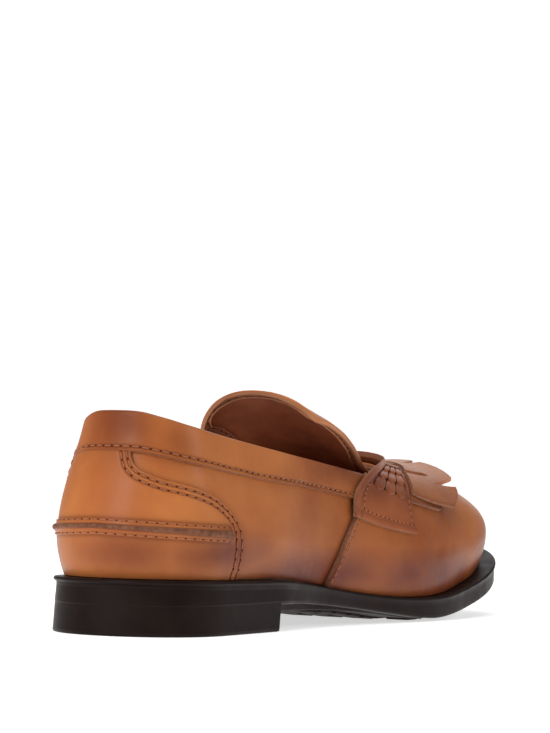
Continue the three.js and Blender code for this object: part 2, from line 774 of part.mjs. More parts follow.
// A sheet over the upper's face, between two offsets from it. Its middle column faces away from the last.
function overlayGeometry(face, inner, outer) {
  const normals = gridNormals(face, false);
  const column = Math.floor(face.length / 2);
  const foot = face[column][0];
  const core = new THREE.Vector3(Math.max(foot.x, HEEL_ROUND), centre(foot.x), belly(foot.x));
  if (foot.clone().sub(core).dot(normals[column][0]) < 0) normals.flat().forEach((n) => n.negate());
  return sheetGeometry(offsetGrid(face, normals, outer), offsetGrid(face, normals, inner), false);
}

const grid = (columns, rows, point) =>
  Array.from({ length: columns + 1 }, (_, i) =>
    Array.from({ length: rows + 1 }, (_row, j) => point(i / columns, j / rows)));

const sideOf = (signed) => (signed < 0 ? -1 : 1);
const overlayInner = GAP - SEAM_STEP;
const overlayOuter = overlayInner + OVERLAY;

// Collar band
const BAND_ROWS = 3;

function bandGeometry() {
  const face = grid(2 * QUARTER_COLUMNS, BAND_ROWS, (i, j) => {
    const signed = 2 * i - 1;
    const share = BAND_FROM + (1 - BAND_FROM) * j;
    const foot = Math.abs(signed) * (SEAM_FOOT - SEAM_GAP);
    return quarterPoint(sideOf(signed), foot, share);
  });
  return overlayGeometry(face, overlayInner, overlayOuter);
}
add('collar_band', bandGeometry(), leather);

// Heel counter: a sheet over the quarters, cut to its edges from the side and to a strip from behind.
function counterPrism(side) {
  const edge = [];
  for (let k = 0; k <= COUNTER_STEPS; k += 1) {
    const at = COUNTER[COUNTER.length - 1].at * k / COUNTER_STEPS;
    const reach = lookup(COUNTER, side < 0 ? 'lateral' : 'medial', at);
    const p = wallPoint(side, reach, at * BACK_HEIGHT);
    edge.push(new THREE.Vector2(p.x, p.z));
  }
  const shape = new THREE.Shape([
    new THREE.Vector2(-HEEL_LENGTH, 0), new THREE.Vector2(edge[0].x, 0), ...edge,
    new THREE.Vector2(-HEEL_LENGTH, edge[COUNTER_STEPS].y),
  ]);
  const prism = new THREE.ExtrudeGeometry(shape, { depth: HEEL_WIDTH, bevelEnabled: false });
  prism.rotateX(Math.PI / 2);
  if (side > 0) prism.translate(0, HEEL_WIDTH, 0);
  return toSolid(prism);
}

function counterGeometry() {
  const face = grid(2 * COUNTER_COLUMNS, COUNTER_ROWS, (i, j) => {
    const signed = 2 * i - 1;
    const foot = Math.abs(signed) * SEAM_FOOT * COUNTER_COLUMNS / QUARTER_COLUMNS;
    return quarterPoint(sideOf(signed), foot, UPPER_CLEAR + (BAND_FROM - 2 * UPPER_CLEAR) * j);
  });
  const strip = new THREE.BoxGeometry(HEEL_LENGTH, COUNTER_STRIP, 2 * BACK_HEIGHT);
  strip.translate(0, 0, BACK_HEIGHT);
  const sheet = toSolid(outwardFacing(overlayGeometry(face, overlayInner, overlayOuter)));
  return fromSolid(sheet.intersect(counterPrism(-1).add(counterPrism(1)).add(toSolid(strip))));
}
add('heel_counter', counterGeometry(), leather);

// Raised seam around the heel
const RIDGE_SEAM_COLUMNS = 32;
const RIDGE_SEAM_ROWS = 4;
const RIDGE_SEAM_SIDE = 0.35;

function ridgeSeamGeometry() {
  const face = grid(RIDGE_SEAM_COLUMNS, RIDGE_SEAM_ROWS, (i, j) => {
    const signed = 2 * i - 1;
    const middle = BACK_HEIGHT * (RIDGE_SEAM_BACK - RIDGE_SEAM_DROP * Math.abs(signed));
    const h = middle + RIDGE_SEAM_WIDTH * (j - 0.5);
    return wallPoint(sideOf(signed), Math.abs(signed) * RIDGE_SEAM_REACH, h);
  });
  const bottom = overlayOuter + GAP;
  const crown = (j) => RIDGE_SEAM_SIDE + (1 - RIDGE_SEAM_SIDE) * Math.sin(Math.PI * j / RIDGE_SEAM_ROWS);
  return overlayGeometry(face, bottom, (i, j) => bottom + RIDGE_SEAM_HEIGHT * crown(j));
}
add('heel_ridge', ridgeSeamGeometry(), darkLeather);

// Tongue: under the vamp it follows the last, and its free end is a flatter arch above the collar.
function tongueGeometry() {
  const face = grid(TONGUE_COLUMNS, TONGUE_ROWS, (i, j) => {
    const t = 1 - Math.cos(i * Math.PI / 2);
    const x = TONGUE_END + TONGUE_TIP + (TONGUE_ROOT - TONGUE_END - TONGUE_TIP) * t;
    const reach = TONGUE_WIDTH / 2 * round((TONGUE_END + TONGUE_ROUND - x) / TONGUE_ROUND, TONGUE_POWER)
      * lookup(TONGUE, 'width', x / LENGTH);
    const y = centre(x) + (2 * j - 1) * reach;
    const fall = ridge(x) - lift(sideOf(2 * j - 1), x, y);
    const depth = (VAMP_WALL + 2 * GAP) * lookup(TONGUE, 'depth', x / LENGTH);
    return new THREE.Vector3(x, y, ridge(x) - depth - fall * lookup(TONGUE, 'arch', x / LENGTH));
  });
  return overlayGeometry(face, -TONGUE_THICKNESS, 0);
}
add('tongue', tongueGeometry(), darkLeather);

// Saddle strap: the loops of its woven middle are raised, and its rear edge stands off the tongue.
function strapGeometry() {
  const face = grid(STRAP_COLUMNS, STRAP_ROWS, (i, j) => {
    const a = Math.abs(2 * i - 1) * STRAP_END;
    const rear = lookup(STRAP, 'rear', a);
    const front = lookup(STRAP, 'front', a);
    return archPoint(sideOf(2 * i - 1), LENGTH * (rear + (front - rear) * j), a);
  });
  const flare = (i, j) => {
    const a = Math.abs(2 * i / STRAP_COLUMNS - 1) * STRAP_END;
    const behind = 1 - clamp(j / STRAP_ROWS / FLARE_SHARE, 0, 1);
    return STRAP_FLARE * behind * behind * (1 - smooth(FLARE_FROM, FLARE_END, a));
  };
  const weave = (i, j) => {
    const a = (2 * i / STRAP_COLUMNS - 1) * STRAP_END;
    const across = (j / STRAP_ROWS - WEAVE_FROM) / (WEAVE_TO - WEAVE_FROM);
    if (Math.abs(a) > WEAVE_END || across < 0 || across > 1) return 0;
    const cell = (a / WEAVE_END + 1) / 2 * WEAVE_CELLS;
    return WEAVE_RISE * Math.abs(Math.sin(Math.PI * across * WEAVE_STRIPS) * Math.sin(Math.PI * cell));
  };
  return overlayGeometry(
    face,
    (i, j) => GAP + flare(i, j),
    (i, j) => GAP + STRAP_THICKNESS + flare(i, j) + weave(i, j));
}
add('saddle_strap', strapGeometry(), leather);

// Kiltie: a fringed flap in front of the strap, over a plain layer
function kiltieFace(short, root, edge) {
  return grid(KILTIE_COLUMNS, KILTIE_ROWS, (i, j) => {
    const v = Math.abs(2 * i - 1);
    const a = v * (root + (edge - root) * j);
    const start = LENGTH * lookup(STRAP, 'front', v * root) + KILTIE_GAP;
    const end = LENGTH * lookup(KILTIE, 'front', v) - short;
    return archPoint(sideOf(2 * i - 1), start + (end - start) * j, a);
  });
}

function wedge(x, y, length, width) {
  const shape = new THREE.Shape([
    new THREE.Vector2(x, y),
    new THREE.Vector2(x + length, y - width / 2),
    new THREE.Vector2(x + length, y + width / 2),
  ]);
  return new THREE.ExtrudeGeometry(shape, { depth: 2 * INSTEP, bevelEnabled: false });
}

function slit(x, y, length, width) {
  const box = new THREE.BoxGeometry(length, width, 2 * INSTEP);
  box.translate(x + length / 2, y, INSTEP);
  return box;
}

function kiltieGeometry() {
  const face = kiltieFace(0, KILTIE_ROOT, KILTIE_EDGE);
  const base = (j) => 2 * GAP + KILTIE_THICKNESS + KILTIE_LIFT * (j / KILTIE_ROWS) ** 2;
  const flap = overlayGeometry(face, (i, j) => base(j), (i, j) => base(j) + KILTIE_THICKNESS);
  let solid = toSolid(outwardFacing(flap));
  const front = LENGTH * KILTIE[0].front;
  for (const lobe of NOTCHES) {
    const y = centre(front) + lobe * LOBE_WIDTH;
    const notch = LENGTH * lookup(KILTIE, 'front', Math.abs(lobe) / LOBES) - NOTCH_DEPTH;
    solid = solid.subtract(toSolid(wedge(notch, y, 2 * NOTCH_DEPTH, 2 * NOTCH_WIDTH)));
  }
  for (const lobe of SLITS) {
    const y = centre(front) + lobe * LOBE_WIDTH;
    const root = LENGTH * lookup(STRAP, 'front', KILTIE_ROOT * Math.abs(lobe) / LOBES);
    solid = solid.subtract(toSolid(slit(root + SLIT_START, y, SLIT_LENGTH, SLIT_WIDTH)));
  }
  return fromSolid(solid);
}

function kiltieBaseGeometry() {
  const face = kiltieFace(KILTIE_BASE_SHORT, KILTIE_BASE_ROOT, KILTIE_BASE_EDGE);
  return overlayGeometry(face, GAP, GAP + KILTIE_THICKNESS);
}
add('kiltie_base', kiltieBaseGeometry(), darkLeather);
add('kiltie', kiltieGeometry(), leather);

export default group;
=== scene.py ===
import math

import bmesh
import bpy
import numpy as np
from mathutils import Matrix, Vector


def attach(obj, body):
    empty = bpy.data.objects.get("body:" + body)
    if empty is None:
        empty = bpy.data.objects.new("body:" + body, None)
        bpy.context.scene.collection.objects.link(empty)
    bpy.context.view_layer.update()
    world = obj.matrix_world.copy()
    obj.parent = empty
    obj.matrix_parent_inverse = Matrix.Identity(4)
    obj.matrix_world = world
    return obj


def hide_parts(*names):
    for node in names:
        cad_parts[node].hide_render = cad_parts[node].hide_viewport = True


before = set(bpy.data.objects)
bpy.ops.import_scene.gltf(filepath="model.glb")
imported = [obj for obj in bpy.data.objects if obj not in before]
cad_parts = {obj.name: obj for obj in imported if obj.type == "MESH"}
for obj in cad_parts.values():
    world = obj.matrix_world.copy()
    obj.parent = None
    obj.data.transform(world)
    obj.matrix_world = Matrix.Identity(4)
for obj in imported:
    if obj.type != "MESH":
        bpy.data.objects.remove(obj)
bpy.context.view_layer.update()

# Sizes of the right shoe in millimetres, as in the part's source.
LENGTH = 300
BALL_WIDTH = 98
HEEL_WIDTH = 72
HEEL_LENGTH = 79.5
HEEL_STACK = 22
HEEL_FLARE = 1.2
BREAST_LEAN = 2.5
SOLE_EDGE = 9.5
WELT_THICKNESS = 3.6
EDGE_INSET = 0.6
EDGE_ROUND = 1.2
EDGE_LIFT = 1.0
TREAD_INSET = 7
TREAD_FRONT = 8
WAIST_DROP = 4.6
BALL_DROP = 1.6
STUD_HEIGHT = 1.2
STUD_LENGTH = 9
STUD_WIDTH = 11
STUD_PITCH = 13
STUD_ROW = 15
STUD_MARGIN = 1.5
STUDS_FROM = 150
STUDS_TO = 272
FOREFOOT_REST = 202
WAIST_RISE = 8.5
TOE_SPRING = 21
TOE_SWING = 6
HEEL_ROUND = 36
TOE_ROUND = 62
LEDGE = 7.5
BULGE = 4
BULGE_HEIGHT = 17
FEATHER_BACK = 5
FEATHER_FRONT = 9
TOE_OVERHANG = 6
BACK_HEIGHT = 66
BACK_LEAN = 11.5
SIDE_LEAN = 5.5
INSTEP = 68
TOE_DROP = 46
THROAT = 207
THROAT_CORNER = 163
VAMP_WALL = 2.4
QUARTER_WALL = 1.8
SEAM_STEP = 1.4
OVERLAY = 1.2
GAP = 0.3
UPPER_FOOT = 4.0
INSOLE_RISE = 1.6
BAND_FROM = 0.755
SEAM_FOOT = 0.454
SEAM_BEND = 1.35
RIDGE_SEAM_BACK = 0.31
RIDGE_SEAM_DROP = 0.035
RIDGE_SEAM_REACH = 0.240
RIDGE_SEAM_HEIGHT = 2.0
RIDGE_SEAM_WIDTH = 6.4
TONGUE_THICKNESS = 2.6
TONGUE_END = 117
TONGUE_WIDTH = 58
TONGUE_ROUND = 9
TONGUE_ROOT = 232
TONGUE_TIP = 0.6
TONGUE_POWER = 2.4
STRAP_THICKNESS = 2.0
STRAP_FLARE = 2.6
FLARE_SHARE = 0.35
FLARE_FROM = 0.45
FLARE_END = 0.75
STRAP_END = 0.855
WEAVE_END = 0.615
WEAVE_CELLS = 11
WEAVE_STRIPS = 3
WEAVE_FROM = 0.20
WEAVE_TO = 0.90
KILTIE_THICKNESS = 1.5
KILTIE_LIFT = 3.0
KILTIE_GAP = 0.9
KILTIE_ROOT = 0.59
KILTIE_EDGE = 0.69
KILTIE_BASE_SHORT = 5
KILTIE_BASE_ROOT = 0.632
KILTIE_BASE_EDGE = 0.674
LOBE_WIDTH = 12.6
NOTCH_DEPTH = 14.5
NOTCH_WIDTH = 4.0
SLIT_LENGTH = 22
SLIT_WIDTH = 3.4
SLIT_START = 3
NOTCHES = (-2.87, -0.8, 0.8, 2.87)
SLITS = (-2.3, 2.3)
LOBES = 3.35
HEEL_POWER = 2.15
TOE_POWER = 2.7
RIDGE_POWER = 2.3


def table(columns, *lines):
    return dict(zip(columns, np.array(lines, float).T))


PLAN = table(
    ("at", "lateral", "medial", "ledge", "bulge"),
    (0.00, 0.493, 0.472, 0.60, 0.70),
    (0.14, 0.520, 0.493, 0.50, 0.70),
    (0.27, 0.520, 0.480, 0.45, 0.80),
    (0.42, 0.428, 0.360, 0.38, 0.90),
    (0.50, 0.408, 0.352, 0.40, 1.00),
    (0.58, 0.435, 0.400, 0.50, 1.00),
    (0.66, 0.480, 0.465, 0.65, 1.00),
    (0.73, 0.495, 0.500, 0.78, 0.95),
    (0.80, 0.490, 0.510, 0.90, 0.85),
    (0.88, 0.490, 0.500, 1.00, 0.70),
    (1.00, 0.490, 0.480, 1.05, 0.60))

RIDGE = table(
    ("at", "height"),
    (0.000, 1.660), (0.250, 1.660), (0.350, 1.560), (0.450, 1.370), (0.550, 1.165),
    (0.620, 1.060), (0.667, 1.022), (0.720, 0.988), (0.780, 0.960), (0.840, 0.935),
    (0.900, 0.900), (1.000, 0.850))
TOPLINE = table(
    ("at", "height"),
    (0.000, 1.000), (0.040, 0.994), (0.060, 0.970), (0.090, 0.938), (0.133, 0.909),
    (0.195, 0.875), (0.288, 0.828), (0.408, 0.781), (0.530, 0.730), (0.600, 0.700))

BACK = table(
    ("at", "lean"),
    (0.27, 0), (0.40, 0.13), (0.55, 0.37), (0.70, 0.66), (0.85, 0.90), (0.95, 0.975), (1.0, 1.0), (1.2, 1.1))
UNDER = table(
    ("at", "rise"),
    (0.00, 1.15), (0.27, 1.15), (0.34, 1.10), (0.42, 0.93), (0.50, 0.66), (0.58, 0.32),
    (0.65, 0.06), (0.70, 0.00), (1.00, 0.00))

# Side edge of the heel counter: height over the back height, reach along the half outline.
COUNTER = table(
    ("at", "lateral", "medial"),
    (0.00, 0.262, 0.272), (0.08, 0.269, 0.271), (0.20, 0.273, 0.270), (0.28, 0.271, 0.269),
    (0.35, 0.262, 0.267), (0.43, 0.239, 0.260), (0.50, 0.206, 0.238), (0.535, 0.178, 0.223),
    (0.565, 0.145, 0.204), (0.59, 0.108, 0.186), (0.62, 0.080, 0.166), (0.65, 0.060, 0.154),
    (0.70, 0.045, 0.146), (0.80, 0.036, 0.142))
TONGUE = table(
    ("at", "depth", "arch", "width"),
    (0.390, 1.30, 0.44, 1.00), (0.407, 0.70, 0.44, 1.00), (0.433, 0.57, 0.37, 1.00),
    (0.457, 0.40, 0.33, 1.00), (0.493, 0.20, 0.34, 1.00), (0.517, 0.20, 0.42, 1.00),
    (0.533, 0.22, 0.52, 0.98), (0.550, 0.26, 0.68, 0.94), (0.567, 0.34, 0.86, 0.90),
    (0.587, 0.46, 1.00, 0.83), (0.610, 0.70, 1.06, 0.74), (0.640, 0.98, 1.04, 0.66),
    (0.665, 1.00, 1.00, 0.62))
STRAP = table(
    ("at", "rear", "front"),
    (0.00, 0.700, 0.775), (0.12, 0.695, 0.768), (0.25, 0.668, 0.735), (0.38, 0.610, 0.686),
    (0.51, 0.553, 0.655), (0.64, 0.509, 0.630), (0.75, 0.482, 0.620), (0.855, 0.472, 0.616))
KILTIE = table(
    ("at", "front"),
    (0.00, 0.855), (0.30, 0.850), (0.60, 0.830), (0.75, 0.803), (0.86, 0.782), (1.00, 0.732))


def smooth(start, end, value):
    t = np.clip((value - start) / (end - start), 0, 1)
    return t * t * (3 - 2 * t)


def lookup(rows, column, at):
    xs, ys = rows["at"], rows[column]
    slope = np.diff(ys) / np.diff(xs)
    product = slope[:-1] * slope[1:]
    total = np.where(product > 0, slope[:-1] + slope[1:], 1)
    tangent = np.concatenate([slope[:1], np.where(product > 0, 2 * product / total, 0), slope[-1:]])
    t = np.clip(at, xs[0], xs[-1])
    i = np.clip(np.searchsorted(xs, t, side="right") - 1, 0, len(xs) - 2)
    h = xs[i + 1] - xs[i]
    s = (t - xs[i]) / h
    return ((2 * s**3 - 3 * s**2 + 1) * ys[i] + (s**3 - 2 * s**2 + s) * h * tangent[i]
            + (3 * s**2 - 2 * s**3) * ys[i + 1] + (s**3 - s**2) * h * tangent[i + 1])


def rounding(share, power):
    return (1 - np.clip(share, 0, 1) ** power) ** (1 / power)


def centre(x):
    t = np.clip((x / LENGTH - 0.5) / 0.5, 0, 1.2)
    return TOE_SWING * t * t


def half(side, x, inset, back, front):
    t = x / LENGTH
    span = HEEL_WIDTH + (BALL_WIDTH - HEEL_WIDTH) * smooth(0.30, 0.60, t)
    share = np.where(side < 0, lookup(PLAN, "lateral", t), lookup(PLAN, "medial", t))
    vamp_edge_shade = (HEEL_ROUND - x) / (HEEL_ROUND - back)
    ahead = (x - (LENGTH - TOE_ROUND)) / (TOE_ROUND - front)
    return (share * span - inset) * rounding(vamp_edge_shade, HEEL_POWER) * rounding(ahead, TOE_POWER)


def along(u, back, front):
    return back + (LENGTH - front - back) * (1 - np.cos(np.pi * u)) / 2


def spring(x):
    return TOE_SPRING * np.clip((x / LENGTH - 2 / 3) * 3, 0, 1.1) ** 1.6


def under(x):
    return WAIST_RISE * lookup(UNDER, "rise", x / LENGTH) + spring(x)


def seat(x):
    t = x / LENGTH
    heel = HEEL_STACK * (1 - 0.06 * smooth(0, 0.27, t))
    front = smooth(0.25, 0.64, t)
    return heel * (1 - front) + (SOLE_EDGE + 1) * front + spring(x)


def bulge_height(x):
    return BULGE_HEIGHT * (1 - 0.25 * smooth(0.6, 1, x / LENGTH))


def belly(x):
    return seat(x) + bulge_height(x)


def ridge(x):
    b = belly(x)
    ahead = (x - (LENGTH - TOE_DROP)) / (TOE_DROP - (FEATHER_FRONT - TOE_OVERHANG))
    return b + (INSTEP * lookup(RIDGE, "height", x / LENGTH) - b) * rounding(ahead, RIDGE_POWER)


def power(x):
    return 2.25 - 0.25 * smooth(0.3, 0.6, x / LENGTH)


def tuck(x, h):
    return 1 - (1 - np.clip(h / bulge_height(x), 0, 1)) ** 2


def lean(h):
    return lookup(BACK, "lean", h / BACK_HEIGHT)


def side_half(side, x, h):
    k = tuck(x, h)
    t = x / LENGTH
    leaning = SIDE_LEAN * lean(h) * (1 - smooth(0.12, 0.42, t))
    inset = LEDGE * lookup(PLAN, "ledge", t) - BULGE * k * lookup(PLAN, "bulge", t) + leaning
    back = FEATHER_BACK * (1 - k) + BACK_LEAN * lean(h)
    return half(side, x, inset, back, FEATHER_FRONT - TOE_OVERHANG * k)


def stack(x, y, z):
    return np.stack(np.broadcast_arrays(x, y, z), -1).astype(float)


def wall(signed, h):
    """The face in rings: signed share of the half outline, outer side negative, and height over the seat."""
    side = np.where(signed < 0, -1, 1)
    u = np.abs(signed)
    k = tuck(along(u, 0, 0), h)
    x = along(u, FEATHER_BACK * (1 - k) + BACK_LEAN * lean(h), FEATHER_FRONT - TOE_OVERHANG * k)
    z = seat(x) + h
    b = belly(x)
    width = side_half(side, x, h) * rounding((z - b) / np.maximum(ridge(x) - b, 1e-3), power(x))
    return stack(x, centre(x) + side * width, z)


def arch(x, signed):
    """The face over the belly: signed is 0 on the ridge and -1 or 1 at the belly."""
    side = np.where(signed < 0, -1, 1)
    n = power(x)
    turn = np.abs(signed) * np.pi / 2
    width = side_half(side, x, bulge_height(x)) * np.sin(turn) ** (2 / n)
    b = belly(x)
    return stack(x, centre(x) + side * width, b + (ridge(x) - b) * np.maximum(np.cos(turn), 0) ** (2 / n))


def lift(x, y):
    side = np.where(y < centre(x), -1, 1)
    b = belly(x)
    share = np.abs(y - centre(x)) / np.maximum(side_half(side, x, bulge_height(x)), 1e-6)
    return b + (ridge(x) - b) * rounding(share, power(x))


def collar_top(x):
    return (HEEL_STACK + BACK_HEIGHT) * lookup(TOPLINE, "height", x / LENGTH)


def collar_height(signed):
    h = np.full(np.shape(signed), float(BACK_HEIGHT))
    for _ in range(25):
        p = wall(signed, h)
        h = h + collar_top(p[..., 0]) - p[..., 2]
    return h


def seam_top(side):
    low, high = 1.0, 1.6
    for _ in range(40):
        mid = (low + high) / 2
        signed = np.array(side * SEAM_FOOT * mid)
        if wall(signed, collar_height(signed))[0] > THROAT_CORNER:
            high = mid
        else:
            low = mid
    return low


SEAM_TOPS = {side: seam_top(side) for side in (-1, 1)}


def seam_turn(side, share):
    top = np.where(side < 0, SEAM_TOPS[-1], SEAM_TOPS[1])
    return 1 + (top - 1) * np.clip(share, 0, 1.2) ** SEAM_BEND


def quarter(foot, share):
    """The quarter's face: signed foot along the seat, share of the way up to the collar."""
    side = np.where(foot < 0, -1, 1)
    height = collar_height(foot * seam_turn(side, 1))
    return wall(foot * seam_turn(side, share), GAP + (height - GAP) * share)


def throat(side, share):
    corner = quarter(np.array(side * SEAM_FOOT), 1.0)
    turn = share * np.pi / 2
    x = corner[0] + (THROAT - corner[0]) * np.sin(turn)
    y = centre(x) + (corner[1] - centre(corner[0])) * np.cos(turn)
    return stack(x, y, lift(x, y))


def vamp_path(side, share, count=80):
    foot = SEAM_FOOT + (1 - SEAM_FOOT) * share
    near = 1 - smooth(0, 0.3, share)
    belly_at = bulge_height(along(foot, 0, 0))
    low = belly_at / collar_height(np.array(side * SEAM_FOOT))
    rise = np.linspace(0, 1, count // 3)
    turn = 1 + (seam_turn(side, rise * low) - 1) * near
    first = wall(side * foot * turn, GAP + (belly_at - GAP) * rise)
    k = np.linspace(0, 1, count)[1:]
    t = 1 - np.cos(k * np.pi / 2) if share > 0 else k
    seam = quarter(np.full(t.shape, side * SEAM_FOOT), low + (1 - low) * t)
    seam_start, seam_end = quarter(np.full(2, side * SEAM_FOOT), np.array([low, 1.0]))
    bend = seam - (seam_start + (seam_end - seam_start) * t[:, None])
    start, end = first[-1], throat(side, share)
    x = start[0] + (end[0] - start[0]) * t + bend[:, 0] * near
    y = start[1] + (end[1] - start[1]) * t + bend[:, 1] * near
    z = lift(x, y) * smooth(0, 0.02, share) + seam[:, 2] * (1 - smooth(0, 0.02, share))
    return np.concatenate([first, stack(x, y, z)])


def resample(path, shares):
    run = np.concatenate([[0], np.cumsum(np.linalg.norm(np.diff(path, axis=0), axis=1))])
    goal = run[-1] * shares
    return np.stack([np.interp(goal, run, path[:, k]) for k in range(3)], -1)


# Directions and distances on a face
DISTANCE_BLOCK = 256
CORE_BACK = 45
CORE_FRONT = 250


def outward(points, normals):
    x = points[..., 0]
    core = stack(np.clip(x, CORE_BACK, CORE_FRONT), centre(x), seat(x) + BULGE_HEIGHT)
    sign = np.sign(np.sum((points - core) * normals, -1, keepdims=True))
    return normals * np.where(sign == 0, 1, sign)


def unit(vectors):
    return vectors / np.maximum(np.linalg.norm(vectors, axis=-1, keepdims=True), 1e-9)


def grid_normals(face):
    return outward(face, unit(np.cross(np.gradient(face, axis=0), np.gradient(face, axis=1))))


def slopes(surface, a, b):
    e = 1e-4
    da = (surface(a + e, b) - surface(a - e, b)) / (2 * e)
    db = (surface(a, b + e) - surface(a, b - e)) / (2 * e)
    return da, db


def on_face(surface, a, b, raise_by=0.0):
    """Points and outward directions of a face at its own coordinates."""
    da, db = slopes(surface, a, b)
    points = surface(a, b)
    normals = outward(points, unit(np.cross(da, db)))
    return points + normals * raise_by, normals


def shifted(surface, a, b, distance):
    """Moves a path of a face sideways by a distance in millimetres, staying on the face."""
    for _ in range(3):
        step = np.reshape(distance / 3, (-1, 1))
        points, normals = on_face(surface, a, b)
        tangent = unit(np.gradient(points, axis=0))
        move = unit(np.cross(normals, tangent)) * step
        da, db = slopes(surface, a, b)
        aa, ab, bb = (np.sum(p * q, -1) for p, q in ((da, da), (da, db), (db, db)))
        ma, mb = np.sum(move * da, -1), np.sum(move * db, -1)
        det = aa * bb - ab * ab
        a = a + (ma * bb - mb * ab) / det
        b = b + (mb * aa - ma * ab) / det
    return a, b


def border_distance(face, *borders):
    """Distance of every point of a face to the nearest point of its borders."""
    flat = face.reshape(-1, 3)
    border = np.concatenate(borders)
    best = np.full(len(flat), np.inf)
    for start in range(0, len(border), DISTANCE_BLOCK):
        block = border[start:start + DISTANCE_BLOCK]
        square = np.sum(flat ** 2, 1)[:, None] + np.sum(block ** 2, 1)[None] - 2 * flat @ block.T
        best = np.minimum(best, square.min(1))
    return np.sqrt(np.maximum(best, 0)).reshape(face.shape[:-1])


def near_paths(face, paths, width):
    """1 on the paths over a face, fading to 0 beside them."""
    total = np.zeros(face.shape[:-1])
    for path in paths:
        total = np.maximum(total, np.exp(-(border_distance(face, path) / width) ** 2))
    return total


def edge_profile(distance, radius):
    t = np.clip(distance / radius, 0, 1)
    return np.sqrt(np.maximum(1 - (1 - t) ** 2, 0))


def furrow(face, paths, depth, width):
    """A soft trough of a given depth along paths over a face."""
    return -depth * near_paths(face, paths, width)


# Objects and materials
def show(name, data):
    thing = bpy.data.objects.new(name, data)
    bpy.context.scene.collection.objects.link(thing)
    return thing


def srgb(r, g, b):
    values = [((v / 255 + 0.055) / 1.055) ** 2.4 if v > 10 else v / 255 / 12.92 for v in (r, g, b)]
    return (*values, 1.0)


class Nodes:
    """A material's nodes. What goes into one is a number, a colour or another node's output."""

    def __init__(self, name):
        self.material = bpy.data.materials.new(name)
        self.material.use_nodes = True
        self.tree = self.material.node_tree
        self.shader = self.tree.nodes["Principled BSDF"]
        self.place = self.add("ShaderNodeTexCoord", {}).outputs["Object"]

    def feed(self, node, inputs):
        for key, value in inputs.items():
            if isinstance(value, (int, float, tuple)):
                node.inputs[key].default_value = value
            else:
                self.tree.links.new(value, node.inputs[key])

    def add(self, kind, inputs, **settings):
        node = self.tree.nodes.new(kind)
        for key, value in settings.items():
            setattr(node, key, value)
        self.feed(node, inputs)
        return node

    def noise(self, scale, detail=4, roughness=0.55, distortion=0):
        return self.add("ShaderNodeTexNoise", {
            "Scale": scale, "Detail": detail, "Roughness": roughness, "Distortion": distortion,
            "Vector": self.place}).outputs["Fac"]

    def cells(self, scale):
        return self.add("ShaderNodeTexVoronoi", {"Scale": scale, "Vector": self.place}).outputs["Distance"]

    def ramp(self, value, low, high, start=0.0, end=1.0):
        return self.add("ShaderNodeMapRange", {
            "Value": value, "From Min": low, "From Max": high,
            "To Min": start, "To Max": end}).outputs["Result"]

    def times(self, a, b):
        return self.add("ShaderNodeMath", {0: a, 1: b}, operation="MULTIPLY").outputs[0]

    def attribute(self, name):
        return self.add("ShaderNodeAttribute", {}, attribute_name=name).outputs["Fac"]

    def mix(self, factor, a, b):
        inputs = {"Factor": factor, "A": a, "B": b}
        return self.add("ShaderNodeMix", inputs, data_type="RGBA").outputs["Result"]

    def bump(self, *heights):
        """Bumps over one another: the height, its distance in metres and its strength."""
        normal = {}
        for height, distance, strength in heights:
            node = self.add("ShaderNodeBump", {
                "Strength": strength, "Distance": distance, "Height": height, **normal})
            normal = {"Normal": node.outputs["Normal"]}
        self.feed(self.shader, normal)


def leather(name, light, deep, burnish_shade_colour, grain=1.0):
    """Clouded leather, darker at burnished patches and where painted shade lies low by the welt, and darkest
    where stain and painted shade lie on seams, edges and recesses.
    """
    n = Nodes(name)
    cloud = n.ramp(n.noise(26, 3, 0.5, 0.4), 0.38, 0.66)
    base = n.mix(cloud, light, deep)
    streak = n.ramp(n.noise(140, 5, 0.6), 0.35, 0.75, 0.0, 0.30)
    base = n.mix(streak, base, deep)
    uneven = n.ramp(n.noise(48, 3, 0.5, 0.6), 0.2, 0.75, 0.80, 1.12)
    # Darken towards the third colour at burnished patches and at the painted shade low by the welt.
    base = n.mix(n.times(n.attribute("burnish_and_shade"), uneven), base, burnish_shade_colour)
    # Base colour: darkest where real stain and painted shade in seams, edges and recesses are laid on.
    n.feed(n.shader, {
        "Base Color": n.mix(n.attribute("stain_and_shade"), base, STAIN_AND_SHADE),
        "Roughness": n.ramp(n.noise(420, 3), 0.3, 0.8, LEATHER_GLOSS - 0.05, LEATHER_GLOSS + 0.09),
        "Coat Weight": 0.09, "Coat Roughness": 0.25, "Specular IOR Level": 0.13})
    n.bump((n.noise(70, 3), 0.0006, 0.22 * grain),
           (n.cells(1500), 0.00012, 0.35 * grain),
           (n.noise(2600, 3), 0.00008, 0.3 * grain))
    return n.material


def plain(name, light, deep, roughness, scale, bump, specular=0.4):
    n = Nodes(name)
    n.feed(n.shader, {
        "Base Color": n.mix(n.ramp(n.noise(scale, 4), 0.35, 0.7), light, deep),
        "Roughness": n.ramp(n.noise(scale * 3, 3), 0.3, 0.8, roughness - 0.06, roughness + 0.08),
        "Specular IOR Level": specular})
    n.bump((n.noise(scale * 14, 4), 0.0001, bump), (n.noise(scale * 2, 3), 0.0003, bump * 0.5))
    return n.material


